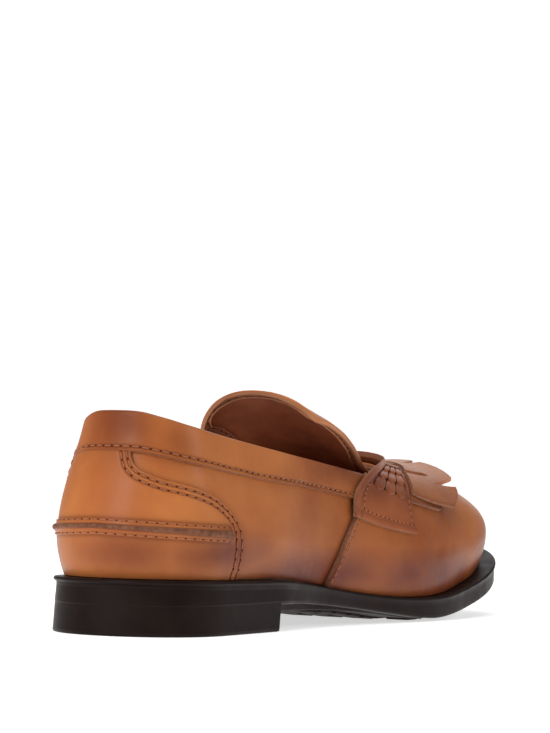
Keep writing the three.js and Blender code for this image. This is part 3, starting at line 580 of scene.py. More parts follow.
LEATHER_GLOSS = 0.38
# Dark colour of real stain, also used as painted shade in seams, recesses and under edges.
STAIN_AND_SHADE = srgb(84, 38, 24)
# The third colour of each leather darkens burnished patches and, low by the welt, paints shade.
TAN = leather("tan_leather", srgb(202, 124, 68), srgb(180, 102, 55), srgb(104, 42, 24))
STRAP_TAN = leather("strap_leather", srgb(186, 106, 62), srgb(154, 84, 50), srgb(94, 42, 27))
FLAP_TAN = leather("flap_leather", srgb(196, 122, 72), srgb(174, 102, 58), srgb(104, 50, 32))
HEM_TAN = leather("hem_leather", srgb(196, 136, 98), srgb(168, 110, 78), srgb(110, 60, 40), grain=1.8)
CUT_EDGE = plain("cut_edge", srgb(158, 110, 84), srgb(128, 84, 64), 0.62, 700, 0.6, 0.2)
PALE_EDGE = plain("pale_edge", srgb(196, 136, 100), srgb(168, 110, 80), 0.6, 700, 0.6, 0.2)
RAW_EDGE = plain("raw_edge", srgb(140, 92, 68), srgb(100, 62, 46), 0.7, 500, 1.0, 0.15)
LINING = plain("lining_leather", srgb(176, 98, 62), srgb(150, 80, 52), 0.6, 90, 0.35, 0.25)
THREAD = plain("thread", srgb(184, 112, 70), srgb(146, 84, 54), 0.5, 1500, 0.5, 0.3)
# Dark colour painted as the shade inside needle holes, and along the heel ridge flap's edges.
HOLE_SHADE = plain("needle_hole_shade", srgb(92, 44, 28), srgb(70, 32, 20), 0.8, 800, 0.2, 0.1)
SOLE = plain("sole_edge", srgb(34, 23, 20), srgb(24, 15, 13), 0.40, 60, 0.2, 0.10)
TREAD = plain("tread_rubber", srgb(46, 34, 31), srgb(34, 24, 22), 0.5, 120, 0.5, 0.12)
SOCK = plain("sock_leather", srgb(150, 90, 58), srgb(130, 76, 48), 0.5, 80, 0.4)

# The frame's origin is under the middle of the heel, and its unit is the metre.
CAD_SHIFT = np.array([HEEL_LENGTH / 2, 0, 0])
METRES = 0.001

# Burnishing and painted shade: darker leather as soft spots in space, where the finish is rubbed in, and,
# for the low spots by the welt, painted shade.
SPOTS = table(
    ("x", "y", "z", "along", "across", "up", "amount"),
    (6, -4, 84, 9, 26, 13, 1.00),
    (22, -22, 74, 7, 16, 10, 0.45),
    (140, -34, 66, 34, 30, 11, 0.80),
    (158, -34, 58, 22, 30, 12, 0.70),
    (118, -38, 22, 60, 30, 13, 1.00),
    (100, -36, 60, 30, 24, 10, 0.35),
    (128, -38, 42, 60, 30, 30, 0.42),
    (205, -46, 20, 70, 34, 14, 1.00),
    (200, -40, 40, 60, 40, 34, 0.45),
    (262, -34, 24, 40, 30, 14, 0.80),
    (40, -36, 32, 40, 30, 9, 0.85),
    (4, -12, 32, 18, 30, 9, 0.75),
    (186, -38, 52, 22, 14, 12, 0.60),
    (118, 38, 24, 50, 30, 13, 0.90),
    (205, 46, 22, 70, 34, 14, 0.95),
    (146, 34, 66, 34, 30, 11, 0.75),
    (300, 4, 34, 26, 60, 18, 0.85),
    (40, 36, 32, 40, 30, 9, 0.80))


# Darkness at each point from the burnished patches and from the painted shade low by the welt.
def burnish_and_shade(points):
    total = np.zeros(points.shape[:-1])
    for k in range(len(SPOTS["x"])):
        size = np.array([SPOTS[c][k] for c in ("along", "across", "up")])
        place = np.array([SPOTS[c][k] for c in ("x", "y", "z")])
        gap = np.sum(((points - place) / size) ** 2, -1)
        total = np.maximum(total, SPOTS["amount"][k] * np.exp(-gap))
    return total


def face_out(mesh):
    work = bmesh.new()
    work.from_mesh(mesh)
    bmesh.ops.recalc_face_normals(work, faces=work.faces)
    work.to_mesh(mesh)
    work.free()
    mesh.update()


def piece(name, points, faces, materials, nodes, kinds=None, sharp=40, stain_and_shade=0.0):
    """A mesh piece in metres that rides on the root and stands for CAD nodes."""
    points = np.reshape(points, (-1, 3))
    mesh = bpy.data.meshes.new(name)
    mesh.from_pydata((points - CAD_SHIFT) * METRES, [], [tuple(int(v) for v in f) for f in faces])
    for entry in materials:
        mesh.materials.append(entry)
    if kinds is not None:
        mesh.polygons.foreach_set("material_index", np.array(kinds, np.int32))
    # Both attributes darken the leather: real burnish and stain, and painted shade in recesses, under edges
    # and low by the welt.
    for title, values in (("burnish_and_shade", burnish_and_shade(points)), ("stain_and_shade", np.broadcast_to(stain_and_shade, len(points)))):
        attribute = mesh.attributes.new(title, "FLOAT", "POINT")
        attribute.data.foreach_set("value", np.array(values, np.float32))
    mesh.validate()
    mesh.update()
    mesh.shade_smooth()
    mesh.set_sharp_from_angle(angle=math.radians(sharp))
    thing = show(name, mesh)
    face_out(mesh)
    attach(thing, "root")
    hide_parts(*nodes)
    return thing


def slab(n, m):
    """Faces between two n by m grids, the outer one first, as 0 outside, 1 edge and 2 inside."""
    i, j = np.arange(n - 1), np.arange(m - 1)
    quads, kinds = [], []
    for skin in (0, 1):
        corner = (skin * n * m + i[:, None] * m + j).reshape(-1)
        quads.append(np.stack([corner, corner + m, corner + m + 1, corner + 1], -1))
        kinds += [2 * skin] * len(corner)
    edges = [(i * m + row, m) for row in (0, m - 1)] + [(column * m + j, 1) for column in (0, n - 1)]
    for corner, step in edges:
        quads.append(np.stack([corner, corner + step, corner + step + n * m, corner + n * m], -1))
        kinds += [1] * len(corner)
    return np.concatenate(quads), kinds


def sheet(name, face, inner, outer, nodes, materials=(TAN, CUT_EDGE, LINING), sharp=40,
          stain_and_shade=0.0):
    """A closed body between two offsets of a face, with materials for outside, edges and inside."""
    size = face.shape[:2]
    normals = grid_normals(face)
    skins = [face + normals * np.broadcast_to(offset, size)[..., None] for offset in (outer, inner)]
    quads, kinds = slab(*size)
    stain_and_shade = np.tile(np.broadcast_to(stain_and_shade, size).reshape(-1), 2)
    return piece(name, skins, quads, materials, nodes, kinds, sharp, stain_and_shade)


def stacked(points, faces, rings):
    """Adds a closed body of equal rings, one over the other, with flat ends."""
    base, sides = len(points), len(rings[0])
    last = base + (len(rings) - 1) * sides
    for entry in rings:
        points.extend(entry)
    for row in range(base, last, sides):
        for q in range(sides):
            w = (q + 1) % sides
            faces.append((row + q, row + w, row + sides + w, row + sides + q))
    faces.append(tuple(range(base, base + sides))[::-1])
    faces.append(tuple(range(last, last + sides)))


def oval(across, other, sides):
    turns = np.linspace(0, 2 * np.pi, sides, endpoint=False)[:, None]
    return across * np.cos(turns) + other * np.sin(turns)


def shares(count, length, first=True, last=True):
    """Shares from 0 to 1 with extra steps close to the ends, for their rounded edges."""
    near = np.array([0, 0.06, 0.16, 0.34, 0.6]) / length
    start = near if first else np.array([0.0])
    end = 1 - near[::-1] if last else np.array([1.0])
    middle = np.linspace(start[-1], end[0], count + 2)[1:-1]
    return np.concatenate([start, middle, end])


def frame_along(path, normals, spacing):
    run = np.concatenate([[0], np.cumsum(np.linalg.norm(np.diff(path, axis=0), axis=1))])
    count = max(2, int(round(run[-1] / spacing)))
    goal = np.linspace(0, run[-1], count + 1)
    at = np.stack([np.interp(goal, run, path[:, k]) for k in range(3)], -1)
    up = unit(np.stack([np.interp(goal, run, normals[:, k]) for k in range(3)], -1))
    return at, up


STITCH_PITCH = 4.0
SEAM_PITCH = 3.4
STRAP_PITCH = 3.0
THREAD_RINGS = 7
THREAD_SIDES = 6
THREAD_RADIUS = 0.34
THREAD_REACH = 0.38
HOLE_SIDES = 8
HOLE_LENGTH = 0.50
HOLE_WIDTH = 0.33
HOLE_RINGS = ((-0.3, 1.0), (0.05, 1.0), (0.07, 0.75))


def stitches(name, rows, nodes, pitch=STITCH_PITCH):
    """Rows of thread with a dark oval between neighbouring stitches that paints the shade inside the needle
    hole.
    """
    points, faces, kinds = [], [], []
    s = np.linspace(-1, 1, THREAD_RINGS)[:, None, None]
    radius = THREAD_RADIUS * (1 - 0.45 * s * s)
    for path, normals in rows:
        at, up = frame_along(path, normals, pitch)
        for k in range(len(at) - 1):
            run = at[k + 1] - at[k]
            raised = unit(up[k] + up[k + 1])
            middle = (at[k] + at[k + 1]) / 2 + run * s * THREAD_REACH + raised * (0.10 - 0.36 * s ** 4)
            ring_at = oval(unit(np.cross(run, raised)), raised * 0.8, THREAD_SIDES)
            stacked(points, faces, middle + radius * ring_at)
        kinds += [0] * (len(faces) - len(kinds))
        for place, ahead, above in zip(at, unit(np.gradient(at, axis=0)), up):
            rim = oval(ahead * HOLE_LENGTH, unit(np.cross(ahead, above)) * HOLE_WIDTH, HOLE_SIDES)
            stacked(points, faces, [place + above * height + rim * share for height, share in HOLE_RINGS])
        kinds += [1] * (len(faces) - len(kinds))
    piece(name, points, faces, (THREAD, HOLE_SHADE), nodes, kinds=kinds, sharp=80)


def tube(name, path, radius, material, nodes, sides=8):
    path = path[np.concatenate([[True], np.linalg.norm(np.diff(path, axis=0), axis=1) > 1e-3])]
    ahead = unit(np.gradient(path, axis=0))
    across = unit(np.cross(ahead, (0, 0, 1)))
    points, faces = [], []
    stacked(points, faces, [place + radius * oval(a, b, sides)
                            for place, a, b in zip(path, across, np.cross(across, ahead))])
    piece(name, points, faces, (material,), nodes)


# Seam rows, on the faces that carry them
OVER = GAP - SEAM_STEP + OVERLAY
ROW_SPACE = 2.3
EDGE_SPACE = 1.7
SEAM_ROW = 2.4
ROW_POINTS = 260
band_feet = np.linspace(-SEAM_FOOT + 0.004, SEAM_FOOT - 0.004, ROW_POINTS)
band_row = on_face(quarter, band_feet, np.full(ROW_POINTS, BAND_FROM + 0.030), OVER)

counter_top = BAND_FROM * float(collar_height(np.array(0.001))) + 1.0


def counter_edge(side, count=220):
    h = np.linspace(0.5, counter_top, count)
    return side * lookup(COUNTER, "lateral" if side < 0 else "medial", h / BACK_HEIGHT), h


counter_rows = []
counter_borders = []
for side in (-1, 1):
    u, h = counter_edge(side)
    counter_borders.append(wall(u, h))
    upright = 1 - smooth(0.22, 0.42, h / BACK_HEIGHT)
    for row in range(2):
        distance = EDGE_SPACE + ROW_SPACE * row * (1 + 0.75 * upright)
        counter_rows.append(on_face(wall, *shifted(wall, u, h, -side * distance), OVER))


def vamp_seam(side, inset):
    path = np.stack([resample(vamp_path(side, s), np.linspace(0, 1, 60)) for s in (0.0, 0.01, 0.02, 0.04)])
    normals = grid_normals(path)
    step = np.linalg.norm(path[2] - path[0], axis=1)
    share = np.clip(inset / step, 0, 1.6)[:, None]
    return path[0] + (path[2] - path[0]) * share, normals[1]


seam_rows = []
for side in (-1, 1):
    path, normals = vamp_seam(side, SEAM_ROW)
    seam_rows.append((path[1:-1] + normals[1:-1] * 0.1, normals[1:-1]))


# Quarters
def quarter_piece():
    feet = np.linspace(-SEAM_FOOT - 0.006, SEAM_FOOT + 0.006, 261)
    rows = np.concatenate([np.linspace(0, 0.97, 60), [0.978, 0.984, 0.989, 0.993, 0.995]])
    face = quarter(*np.meshgrid(feet, rows, indexing="ij"))
    top = border_distance(face, face[:, -1])
    round_in = 1 - edge_profile(top, 1.2)
    # Painted shade on the quarters along the edge of the vamp that lies over them.
    vamp_edge_shade = near_paths(face, [vamp_seam(side, 0.0)[0] for side in (-1, 1)], 1.6)
    sheet("quarters", face, -SEAM_STEP - QUARTER_WALL + 1.0 * round_in, -SEAM_STEP - 0.3 * round_in,
          ["upper"], materials=(TAN, LINING, LINING), stain_and_shade=0.85 * vamp_edge_shade)


# Vamp
VAMP_SWELL = 1.1
SWELL_WIDTH = 2.0
CREASE_DEPTH = 0.45
CREASE_WIDTH = 3.4


def vamp_piece():
    across = np.concatenate([[0, 0.0012, 0.003, 0.006, 0.010, 0.015, 0.022, 0.03], np.linspace(0.04, 1, 96)])
    along_path = shares(84, 90, first=False)
    columns = [resample(vamp_path(-1, s), along_path) for s in across]
    columns += [resample(vamp_path(1, s), along_path) for s in across[::-1][1:]]
    face = np.stack(columns)
    gap = border_distance(face, face[0], face[-1])
    rows = [row[0] for row in seam_rows]
    outer = VAMP_SWELL * np.exp(-(gap / SWELL_WIDTH) ** 2) - 0.35 * (1 - edge_profile(gap, 0.4))
    outer = outer + furrow(face, rows, 0.4, 0.8) + furrow(face, CREASES, CREASE_DEPTH, CREASE_WIDTH)
    outer = outer - 0.6 * (1 - edge_profile(border_distance(face, face[:, -1]), 0.6))
    # Darker along the seam rows: stain of the sewn joint and painted shade in the row's furrow.
    sheet("vamp", face, -VAMP_WALL, outer, ["upper"], stain_and_shade=0.55 * near_paths(face, rows, 0.8))


# Soft troughs where the vamp bends, from the strap down towards the welt.
CREASES = []
for side, shift in ((-1, 0), (1, -4)):
    for start, end, low in ((196, 204, 0.93), (214, 219, 0.90)):
        a = np.linspace(0.72, low, 30)
        x = np.linspace(start + shift, end + shift, 30)
        CREASES.append(arch(x, side * a))

quarter_piece()
vamp_piece()
stitches("side_seam_stitches", seam_rows, ["upper"], SEAM_PITCH)


# Collar band
def band_piece():
    feet = shares(240, 300)
    feet = (2 * feet - 1) * (SEAM_FOOT - 0.003)
    rows = np.concatenate([[0, 0.004, 0.010, 0.018], np.linspace(0.03, 0.9, 26),
                           [0.93, 0.95, 0.965, 0.978, 0.988, 0.996, 1.0]])
    face = quarter(*np.meshgrid(feet, BAND_FROM + (1 - BAND_FROM) * rows, indexing="ij"))
    low = border_distance(face, face[:, 0])
    top = border_distance(face, face[:, -1])
    outer = OVER + 0.25 * np.exp(-(low / 1.0) ** 2) + furrow(face, [band_row[0]], 0.35, 0.8)
    outer = outer - 0.3 * (1 - edge_profile(low, 0.3)) - 1.5 * (1 - edge_profile(top, 1.5))
    inner = np.minimum(GAP - SEAM_STEP, outer - 0.15)
    # Darker along the stitch row, which is stain, and in a thin line at the lower edge, which is painted
    # shadow under the band.
    stain_and_shade = np.maximum(0.5 * near_paths(face, [band_row[0]], 0.7), 0.5 * np.exp(-(low / 0.5) ** 2))
    sheet("collar_band", face, inner, outer, ["collar_band"], stain_and_shade=stain_and_shade)
    stitches("collar_band_stitches", [band_row], ["collar_band"])


def counter_piece():
    s = 2 * shares(150, 110) - 1
    h = np.concatenate([np.linspace(0.4, 22, 34), np.linspace(22.4, counter_top, 90)])
    grid_s, grid_h = np.meshgrid(s, h, indexing="ij")
    reach = [lookup(COUNTER, column, grid_h / BACK_HEIGHT) for column in ("lateral", "medial")]
    face = wall(grid_s * np.where(grid_s < 0, *reach), grid_h)
    gap = border_distance(face, *counter_borders)
    rows = [row[0] for row in counter_rows]
    outer = OVER + furrow(face, rows, 0.32, 0.75) - 0.5 * (1 - edge_profile(gap, 0.6))
    # Stain along the stitch rows and cut edges, and painted shade beside the heel ridge's raised flap.
    stain_and_shade = np.maximum(0.5 * near_paths(face, rows, 0.65), 0.35 * np.exp(-(gap / 0.6) ** 2))
    stain_and_shade = np.maximum(stain_and_shade, 0.5 * near_paths(face, ridge_borders(), 1.0))
    sheet("heel_counter", face, GAP - SEAM_STEP, outer, ["heel_counter"], stain_and_shade=stain_and_shade)
    stitches("heel_counter_stitches", counter_rows, ["heel_counter"])


RIDGE_ROW = 0.40
RIDGE_RIB = 0.19
RIDGE_FLAP = 0.30
RIB_HEIGHT = 0.62
RIB_END = 0.25
RIB_END_REACH = 3.0


def ridge_line(at, w):
    h = BACK_HEIGHT * (RIDGE_SEAM_BACK - RIDGE_SEAM_DROP * np.abs(at)) + RIDGE_SEAM_WIDTH * w
    return at * RIDGE_SEAM_REACH, h


def ridge_borders():
    at = np.linspace(-1, 1, 400)
    return [wall(*ridge_line(at, w)) for w in (-0.5, 0.5)]


def ridge_piece():
    """A low flap with a raw rib along its middle, and a blunt end that stands open."""
    s = 2 * shares(170, 110) - 1
    grid_s, grid_w = np.meshgrid(s, np.linspace(-0.5, 0.5, 33), indexing="ij")
    face = wall(*ridge_line(grid_s, grid_w))
    away = border_distance(face, face[0], face[-1])
    flank = RIDGE_FLAP * np.sqrt(np.maximum(1 - (2 * grid_w) ** 4, 0))
    wide = RIDGE_RIB * (0.70 + 0.55 * np.abs(grid_s) ** 1.5)
    rib = RIB_HEIGHT * np.exp(-(np.abs(grid_w) / wide) ** 4)
    end = np.exp(-(np.abs(grid_w) / 0.34) ** 4) * np.exp(-(away / RIB_END_REACH) ** 2)
    rib = rib + RIB_END * end
    rows = [on_face(wall, *ridge_line(np.linspace(-0.985, 0.985, 500), w), OVER + RIDGE_SEAM_HEIGHT * 0.2)
            for w in (-RIDGE_ROW, RIDGE_ROW)]
    paths = [row[0] for row in rows]
    height = RIDGE_SEAM_HEIGHT * (flank + rib) + furrow(face, paths, 0.15, 0.6)
    # Darker along the stitch rows, with painted shade at the ridge's open ends and in thin lines at the foot
    # of the rib.
    stain_and_shade = np.maximum(0.45 * near_paths(face, paths, 0.6), 0.8 * np.exp(-(away / 1.0) ** 2))
    stain_and_shade = np.maximum(stain_and_shade, 0.70 * np.exp(-((np.abs(grid_w) - wide) / 0.05) ** 2))
    # The flap's edge faces take the dark needle-hole colour as painted shade along the flap.
    thing = sheet("heel_ridge", face, OVER - 0.3, OVER + height, ["heel_ridge"],
                  materials=(TAN, HOLE_SHADE, CUT_EDGE), sharp=60, stain_and_shade=stain_and_shade)
    thing.data.materials.append(RAW_EDGE)
    top = (np.abs(grid_w + 0.5 / 32) < wide * 0.9)[:-1, :-1].reshape(-1)
    index = np.zeros(len(thing.data.polygons), np.int32)
    thing.data.polygons.foreach_get("material_index", index)
    index[:len(top)][top] = 3
    thing.data.polygons.foreach_set("material_index", index)
    stitches("heel_ridge_stitches", rows, ["heel_ridge"])


band_piece()
counter_piece()
ridge_piece()


# Tongue
def tongue_face(t, w, inset=0.0):
    first = TONGUE_END + TONGUE_TIP + inset
    x = first + (TONGUE_ROOT - first) * (1 - np.cos(t * np.pi / 2))
    reach = TONGUE_WIDTH / 2 * rounding((TONGUE_END + TONGUE_ROUND - x) / TONGUE_ROUND, TONGUE_POWER)
    reach = np.maximum(reach * lookup(TONGUE, "width", x / LENGTH) - inset, 1)
    y = centre(x) + w * reach
    fall = ridge(x) - lift(x, y)
    depth = (VAMP_WALL + 2 * GAP) * lookup(TONGUE, "depth", x / LENGTH)
    return stack(x, y, ridge(x) - depth - fall * lookup(TONGUE, "arch", x / LENGTH))


TONGUE_ROLL = 0.9
HEM = 3.3


def around_end(grid):
    """The points of a tongue's grid along one side, around its free end and back along the other."""
    return np.concatenate([grid[::-1, 0], grid[0], grid[:, -1]])


def tongue_piece():
    """Tan leather turned in around the free end, and a lining whose edge stands up inside the hem."""
    t = np.concatenate([np.linspace(0, 0.14, 22), np.linspace(0.15, 1, 80)])
    grid = np.meshgrid(t, 2 * shares(90, 58) - 1, indexing="ij")
    face = tongue_face(*grid)
    gap = border_distance(face, around_end(face))
    fold = edge_profile(gap, TONGUE_ROLL)
    body = TONGUE_THICKNESS
    # A dark line inside the hem, where the lining's edge stands up, is painted shade.
    sheet("tongue", face, -body * (0.55 + 0.30 * fold), -0.28 * body * (1 - fold), ["tongue"],
          materials=(TAN, HEM_TAN, HEM_TAN), stain_and_shade=0.45 * np.exp(-((gap - HEM + 0.3) / 0.8) ** 2))
    inside = tongue_face(*grid, HEM)
    low = -body - 0.3 - 0.25 * np.exp(-(border_distance(inside, around_end(inside)) / 0.8) ** 2)
    sheet("tongue_lining", inside, low, -0.5 * body, ["tongue"],
          materials=(LINING, PALE_EDGE, LINING))
    rim = around_end(inside) - around_end(grid_normals(inside)) * (body + 0.15)
    tube("tongue_rim", rim, 0.42, PALE_EDGE, ["tongue"])
    sewn = tongue_face(*grid, HEM - 1.1)
    up = -around_end(grid_normals(sewn))
    stitches("tongue_stitches", [(around_end(sewn) + up * 0.85 * body, up)], ["tongue"])


tongue_piece()


# Saddle strap
def strap_face(a, share):
    rear = lookup(STRAP, "rear", np.abs(a))
    front = lookup(STRAP, "front", np.abs(a))
    return arch(LENGTH * (rear + (front - rear) * share), a)


def strap_flare(a, share):
    vamp_edge_shade = 1 - np.clip(share / FLARE_SHARE, 0, 1)
    return STRAP_FLARE * vamp_edge_shade ** 2 * (1 - smooth(FLARE_FROM, FLARE_END, np.abs(a)))


WEAVE_BED = 0.9
LOOP_POINTS = 13
LOOP_REACH = 0.80
LOOP_WIDTH = 1.02
LOOP_TILT = 0.85
LOOP_DOME = 1.15
FOLD = 2.6
FOLD_RISE = 0.45
END_HEM_RISE = 0.35
END_HEM = 0.030


def strap_piece():
    a = (2 * shares(170, 150) - 1) * STRAP_END
    grid_a, grid_s = np.meshgrid(a, shares(48, 40), indexing="ij")
    face = strap_face(grid_a, grid_s)
    gap = border_distance(face, face[0], face[-1], face[:, 0], face[:, -1])
    flare = strap_flare(grid_a, grid_s)
    away = np.abs(grid_a)
    across = smooth(WEAVE_FROM - 0.03, WEAVE_FROM, grid_s) * (1 - smooth(WEAVE_TO, WEAVE_TO + 0.03, grid_s))
    bed = (1 - smooth(WEAVE_END - 0.005, WEAVE_END + 0.015, away)) * across
    rear_side = border_distance(face, face[:, 0])
    hem = END_HEM_RISE * smooth(STRAP_END - END_HEM, STRAP_END - END_HEM + 0.004, away)
    hem = np.maximum(hem, FOLD_RISE * (1 - smooth(FOLD - 0.4, FOLD + 0.4, rear_side)))
    rows = [row[0] for row in strap_rows]
    outer = GAP + STRAP_THICKNESS + flare - WEAVE_BED * bed + hem + furrow(face, rows, 0.3, 0.7)
    outer = outer - 0.5 * (1 - edge_profile(gap, 0.5))
    # Darker along the stitch rows; painted shade in the bed under the woven strips, at the foot of the end
    # hem's step and beside the rear fold.
    stain_and_shade = np.maximum(0.45 * near_paths(face, rows, 0.6), 0.55 * bed)
    stain_and_shade = np.maximum(stain_and_shade, 0.7 * np.exp(-((away - STRAP_END + 0.031) / 0.004) ** 2))
    stain_and_shade = np.maximum(stain_and_shade, 0.65 * np.exp(-((rear_side - FOLD - 0.5) / 0.5) ** 2))
    sheet("saddle_strap", face, GAP + flare, outer, ["saddle_strap"],
          materials=(STRAP_TAN, CUT_EDGE, CUT_EDGE), stain_and_shade=stain_and_shade)
    stitches("saddle_strap_stitches", strap_rows, ["saddle_strap"], STRAP_PITCH)


END_ROW = STRAP_END - 0.048
EDGE_ROWS = (0.12, 0.93)
STRAP_POINTS = 120
strap_rows = []
for side in (-1, 1):
    share = np.linspace(0.05, 0.95, STRAP_POINTS)
    end = np.full(STRAP_POINTS, side * END_ROW)
    strap_rows.append(on_face(strap_face, end, share, GAP + STRAP_THICKNESS))
    for edge in EDGE_ROWS:
        a = np.linspace(STRAP_END - 0.055, WEAVE_END + 0.02, STRAP_POINTS)
        path, normals = on_face(strap_face, side * a, np.full(STRAP_POINTS, edge), GAP + STRAP_THICKNESS)
        strap_rows.append((path + normals * strap_flare(a, edge)[:, None], normals))

strap_piece()


def strips_piece():
    """Strips along the strap, of lapped loops: each lies over the root of the next one down."""
    points, quads = [], []
    line = np.sin(np.linspace(-0.5, 0.5, LOOP_POINTS) * math.pi)
    t, w = np.meshgrid(line, line, indexing="ij")
    loop_quads, _ = slab(LOOP_POINTS, LOOP_POINTS)
    cell = 2 * WEAVE_END / WEAVE_CELLS
    level = GAP + STRAP_THICKNESS - WEAVE_BED
    outline = np.sqrt(np.maximum(1 - np.clip(t, 0, 1) ** 3, 0.02)) * (1 - 0.18 * np.clip(-t, 0, 1))
    crown = np.sqrt(np.maximum(1 - w ** 4, 0)) * np.sqrt(np.maximum(1 - np.clip(t, 0, 1) ** 6, 0))
    height = LOOP_TILT * t + LOOP_DOME * crown
    depth = 0.6 - LOOP_TILT * np.minimum(t, 0.5)
    # Painted shade on each loop: darker towards its sunk root, which lies under its neighbour, and at its
    # sides.
    loop_shade = 0.70 * np.clip(-t - 0.1, 0, 1) + 0.25 * np.abs(w) ** 8
    reach = (WEAVE_TO - WEAVE_FROM) * 0.5 * LOOP_WIDTH / WEAVE_STRIPS
    for strip in range(WEAVE_STRIPS):
        share = WEAVE_FROM + (WEAVE_TO - WEAVE_FROM) * (strip + 0.5) / WEAVE_STRIPS
        for k in range(WEAVE_CELLS):
            middle = (k + 0.5) * cell - WEAVE_END
            side = 1 if middle > 0.01 else -1
            a = middle + side * t * LOOP_REACH * cell
            face = strap_face(a, share + w * reach * outline)
            up = grid_normals(face)
            up = up * np.sign(up[..., 2:])
            lift_by = level + strap_flare(a, share)
            quads.append(loop_quads + len(points) * 2 * LOOP_POINTS ** 2)
            points.append([face + up * offset[..., None] for offset in (lift_by + height, lift_by - depth)])
    # The loops' undersides are painted dark as shade.
    stain_and_shade = np.tile(np.concatenate([loop_shade.reshape(-1), np.full(loop_shade.size, 0.8)]), len(points))
    piece("woven_strips", points, np.concatenate(quads), (STRAP_TAN,), ["saddle_strap"], sharp=60,
          stain_and_shade=stain_and_shade)


strips_piece()


# Kiltie
def kiltie_face(w, share, short, root, edge):
    v = np.abs(w)
    a = v * (root + (edge - root) * share)
    start = LENGTH * lookup(STRAP, "front", v * root) + KILTIE_GAP
    end = LENGTH * lookup(KILTIE, "front", v) - short
    return arch(start + (end - start) * share, np.where(w < 0, -a, a))


def cutter(outline, depth=2 * INSTEP):
    points, faces = [], []
    base = stack(*np.array(outline).T, 0)
    stacked(points, faces, (base, base + (0, 0, depth)))
    mesh = bpy.data.meshes.new("cutter")
    mesh.from_pydata((np.array(points) - CAD_SHIFT) * METRES, [], faces)
    face_out(mesh)
    return mesh


def cut(thing, meshes):
    for mesh in meshes:
        tool = show("cutter", mesh)
        modifier = thing.modifiers.new("cut", "BOOLEAN")
        modifier.object = tool
        modifier.operation = "DIFFERENCE"
        modifier.solver = "EXACT"
        bpy.context.view_layer.update()
        evaluated = thing.evaluated_get(bpy.context.evaluated_depsgraph_get())
        fresh = bpy.data.meshes.new_from_object(evaluated)
        thing.modifiers.clear()
        thing.data = fresh
        bpy.data.objects.remove(tool)
    thing.data.set_sharp_from_angle(angle=math.radians(40))


def capsule(x, y, length, width, count=8):
    r = width / 2
    turns = np.linspace(-np.pi / 2, np.pi / 2, count)
    right = [(x + length - r + r * math.cos(t), y + r * math.sin(t)) for t in turns]
    left = [(x + r - r * math.cos(t), y - r * math.sin(t)) for t in turns]
    return right + left


def kiltie_piece():
    grid = np.meshgrid(2 * shares(110, 90) - 1, shares(40, 34), indexing="ij")
    # The third value darkens each layer towards its edges, strongest on the lower layer, where it paints the
    # shade under the kiltie.
    layers = (("kiltie_base", CUT_EDGE, 0.6, 0.8, KILTIE_BASE_SHORT, KILTIE_BASE_ROOT, KILTIE_BASE_EDGE),
              ("kiltie", RAW_EDGE, 0.35, 0.9, 0, KILTIE_ROOT, KILTIE_EDGE))
    rises = (GAP, 2 * GAP + KILTIE_THICKNESS + KILTIE_LIFT * grid[1] ** 2)
    for (name, below, stain_and_shade, width, *reach), rise in zip(layers, rises):
        face = kiltie_face(*grid, *reach)
        edge = border_distance(face, face[0], face[-1], face[:, -1])
        thick = KILTIE_THICKNESS * (0.55 + 0.45 * edge_profile(edge, 0.5))
        flap = sheet(name, face, rise, rise + thick, [name], materials=(FLAP_TAN, CUT_EDGE, below),
                     stain_and_shade=stain_and_shade * np.exp(-(edge / width) ** 2))
    mid = float(centre(LENGTH * float(KILTIE["front"][0])))
    shapes = []
    for lobe in NOTCHES:
        y = mid + lobe * LOBE_WIDTH
        x = LENGTH * float(lookup(KILTIE, "front", np.array(abs(lobe) / LOBES))) - NOTCH_DEPTH
        ahead = x + 2 * NOTCH_DEPTH
        shapes.append([(x, y), (ahead, y - NOTCH_WIDTH), (ahead, y + NOTCH_WIDTH)])
    for lobe in SLITS:
        x = LENGTH * float(lookup(STRAP, "front", np.array(KILTIE_ROOT * abs(lobe) / LOBES))) + SLIT_START
        shapes.append(capsule(x, mid + lobe * LOBE_WIDTH, SLIT_LENGTH, SLIT_WIDTH))
    cut(flap, [cutter(shape) for shape in shapes])


kiltie_piece()


# Sole
RING = 110


def ring(inset, height, back=0.0, front=0.0, start=None, end=None):
    start = back if start is None else start
    end = LENGTH - front if end is None else end
    x = start + (end - start) * (1 - np.cos(np.pi * np.linspace(0, 1, RING + 1))) / 2
    inset = inset(x) if callable(inset) else inset
    z = height(x) if callable(height) else np.full(x.shape, float(height))
    outer, inner = (stack(x, centre(x) + side * half(np.full(x.shape, side), x, inset, back, front), z)
                    for side in (-1, 1))
    return np.concatenate([outer, inner[::-1]])


def loops(name, rings, material, nodes, hollow=False, sharp=35):
    """A closed body through rings around the sole: capped, or joined last to first when hollow."""
    count = len(rings[0])
    faces = []
    for r in range(len(rings) if hollow else len(rings) - 1):
        low, high = r * count, (r + 1) % len(rings) * count
        faces += [(low + k, low + (k + 1) % count, high + (k + 1) % count, high + k) for k in range(count)]
    if not hollow:
        for first in (0, (len(rings) - 1) * count):
            last = first + count - 1
            faces += [(first + k, first + k + 1, last - 1 - k, last - k) for k in range(RING)]
    work = bmesh.new()
    made = [work.verts.new(p) for p in np.concatenate(rings)]
    for face in faces:
        work.faces.new([made[v] for v in face])
    bmesh.ops.remove_doubles(work, verts=work.verts, dist=1e-4)
    mesh = bpy.data.meshes.new("loops")
    work.to_mesh(mesh)
    work.free()
    points = np.array([v.co for v in mesh.vertices])
    polygons = [tuple(p.vertices) for p in mesh.polygons]
    bpy.data.meshes.remove(mesh)
    piece(name, points, polygons, (material,), nodes, sharp=sharp)


def over_seat(rise):
    return lambda x: seat(x) + rise


def over_bottom(rise):
    return lambda x: under(x) + EDGE_LIFT + rise


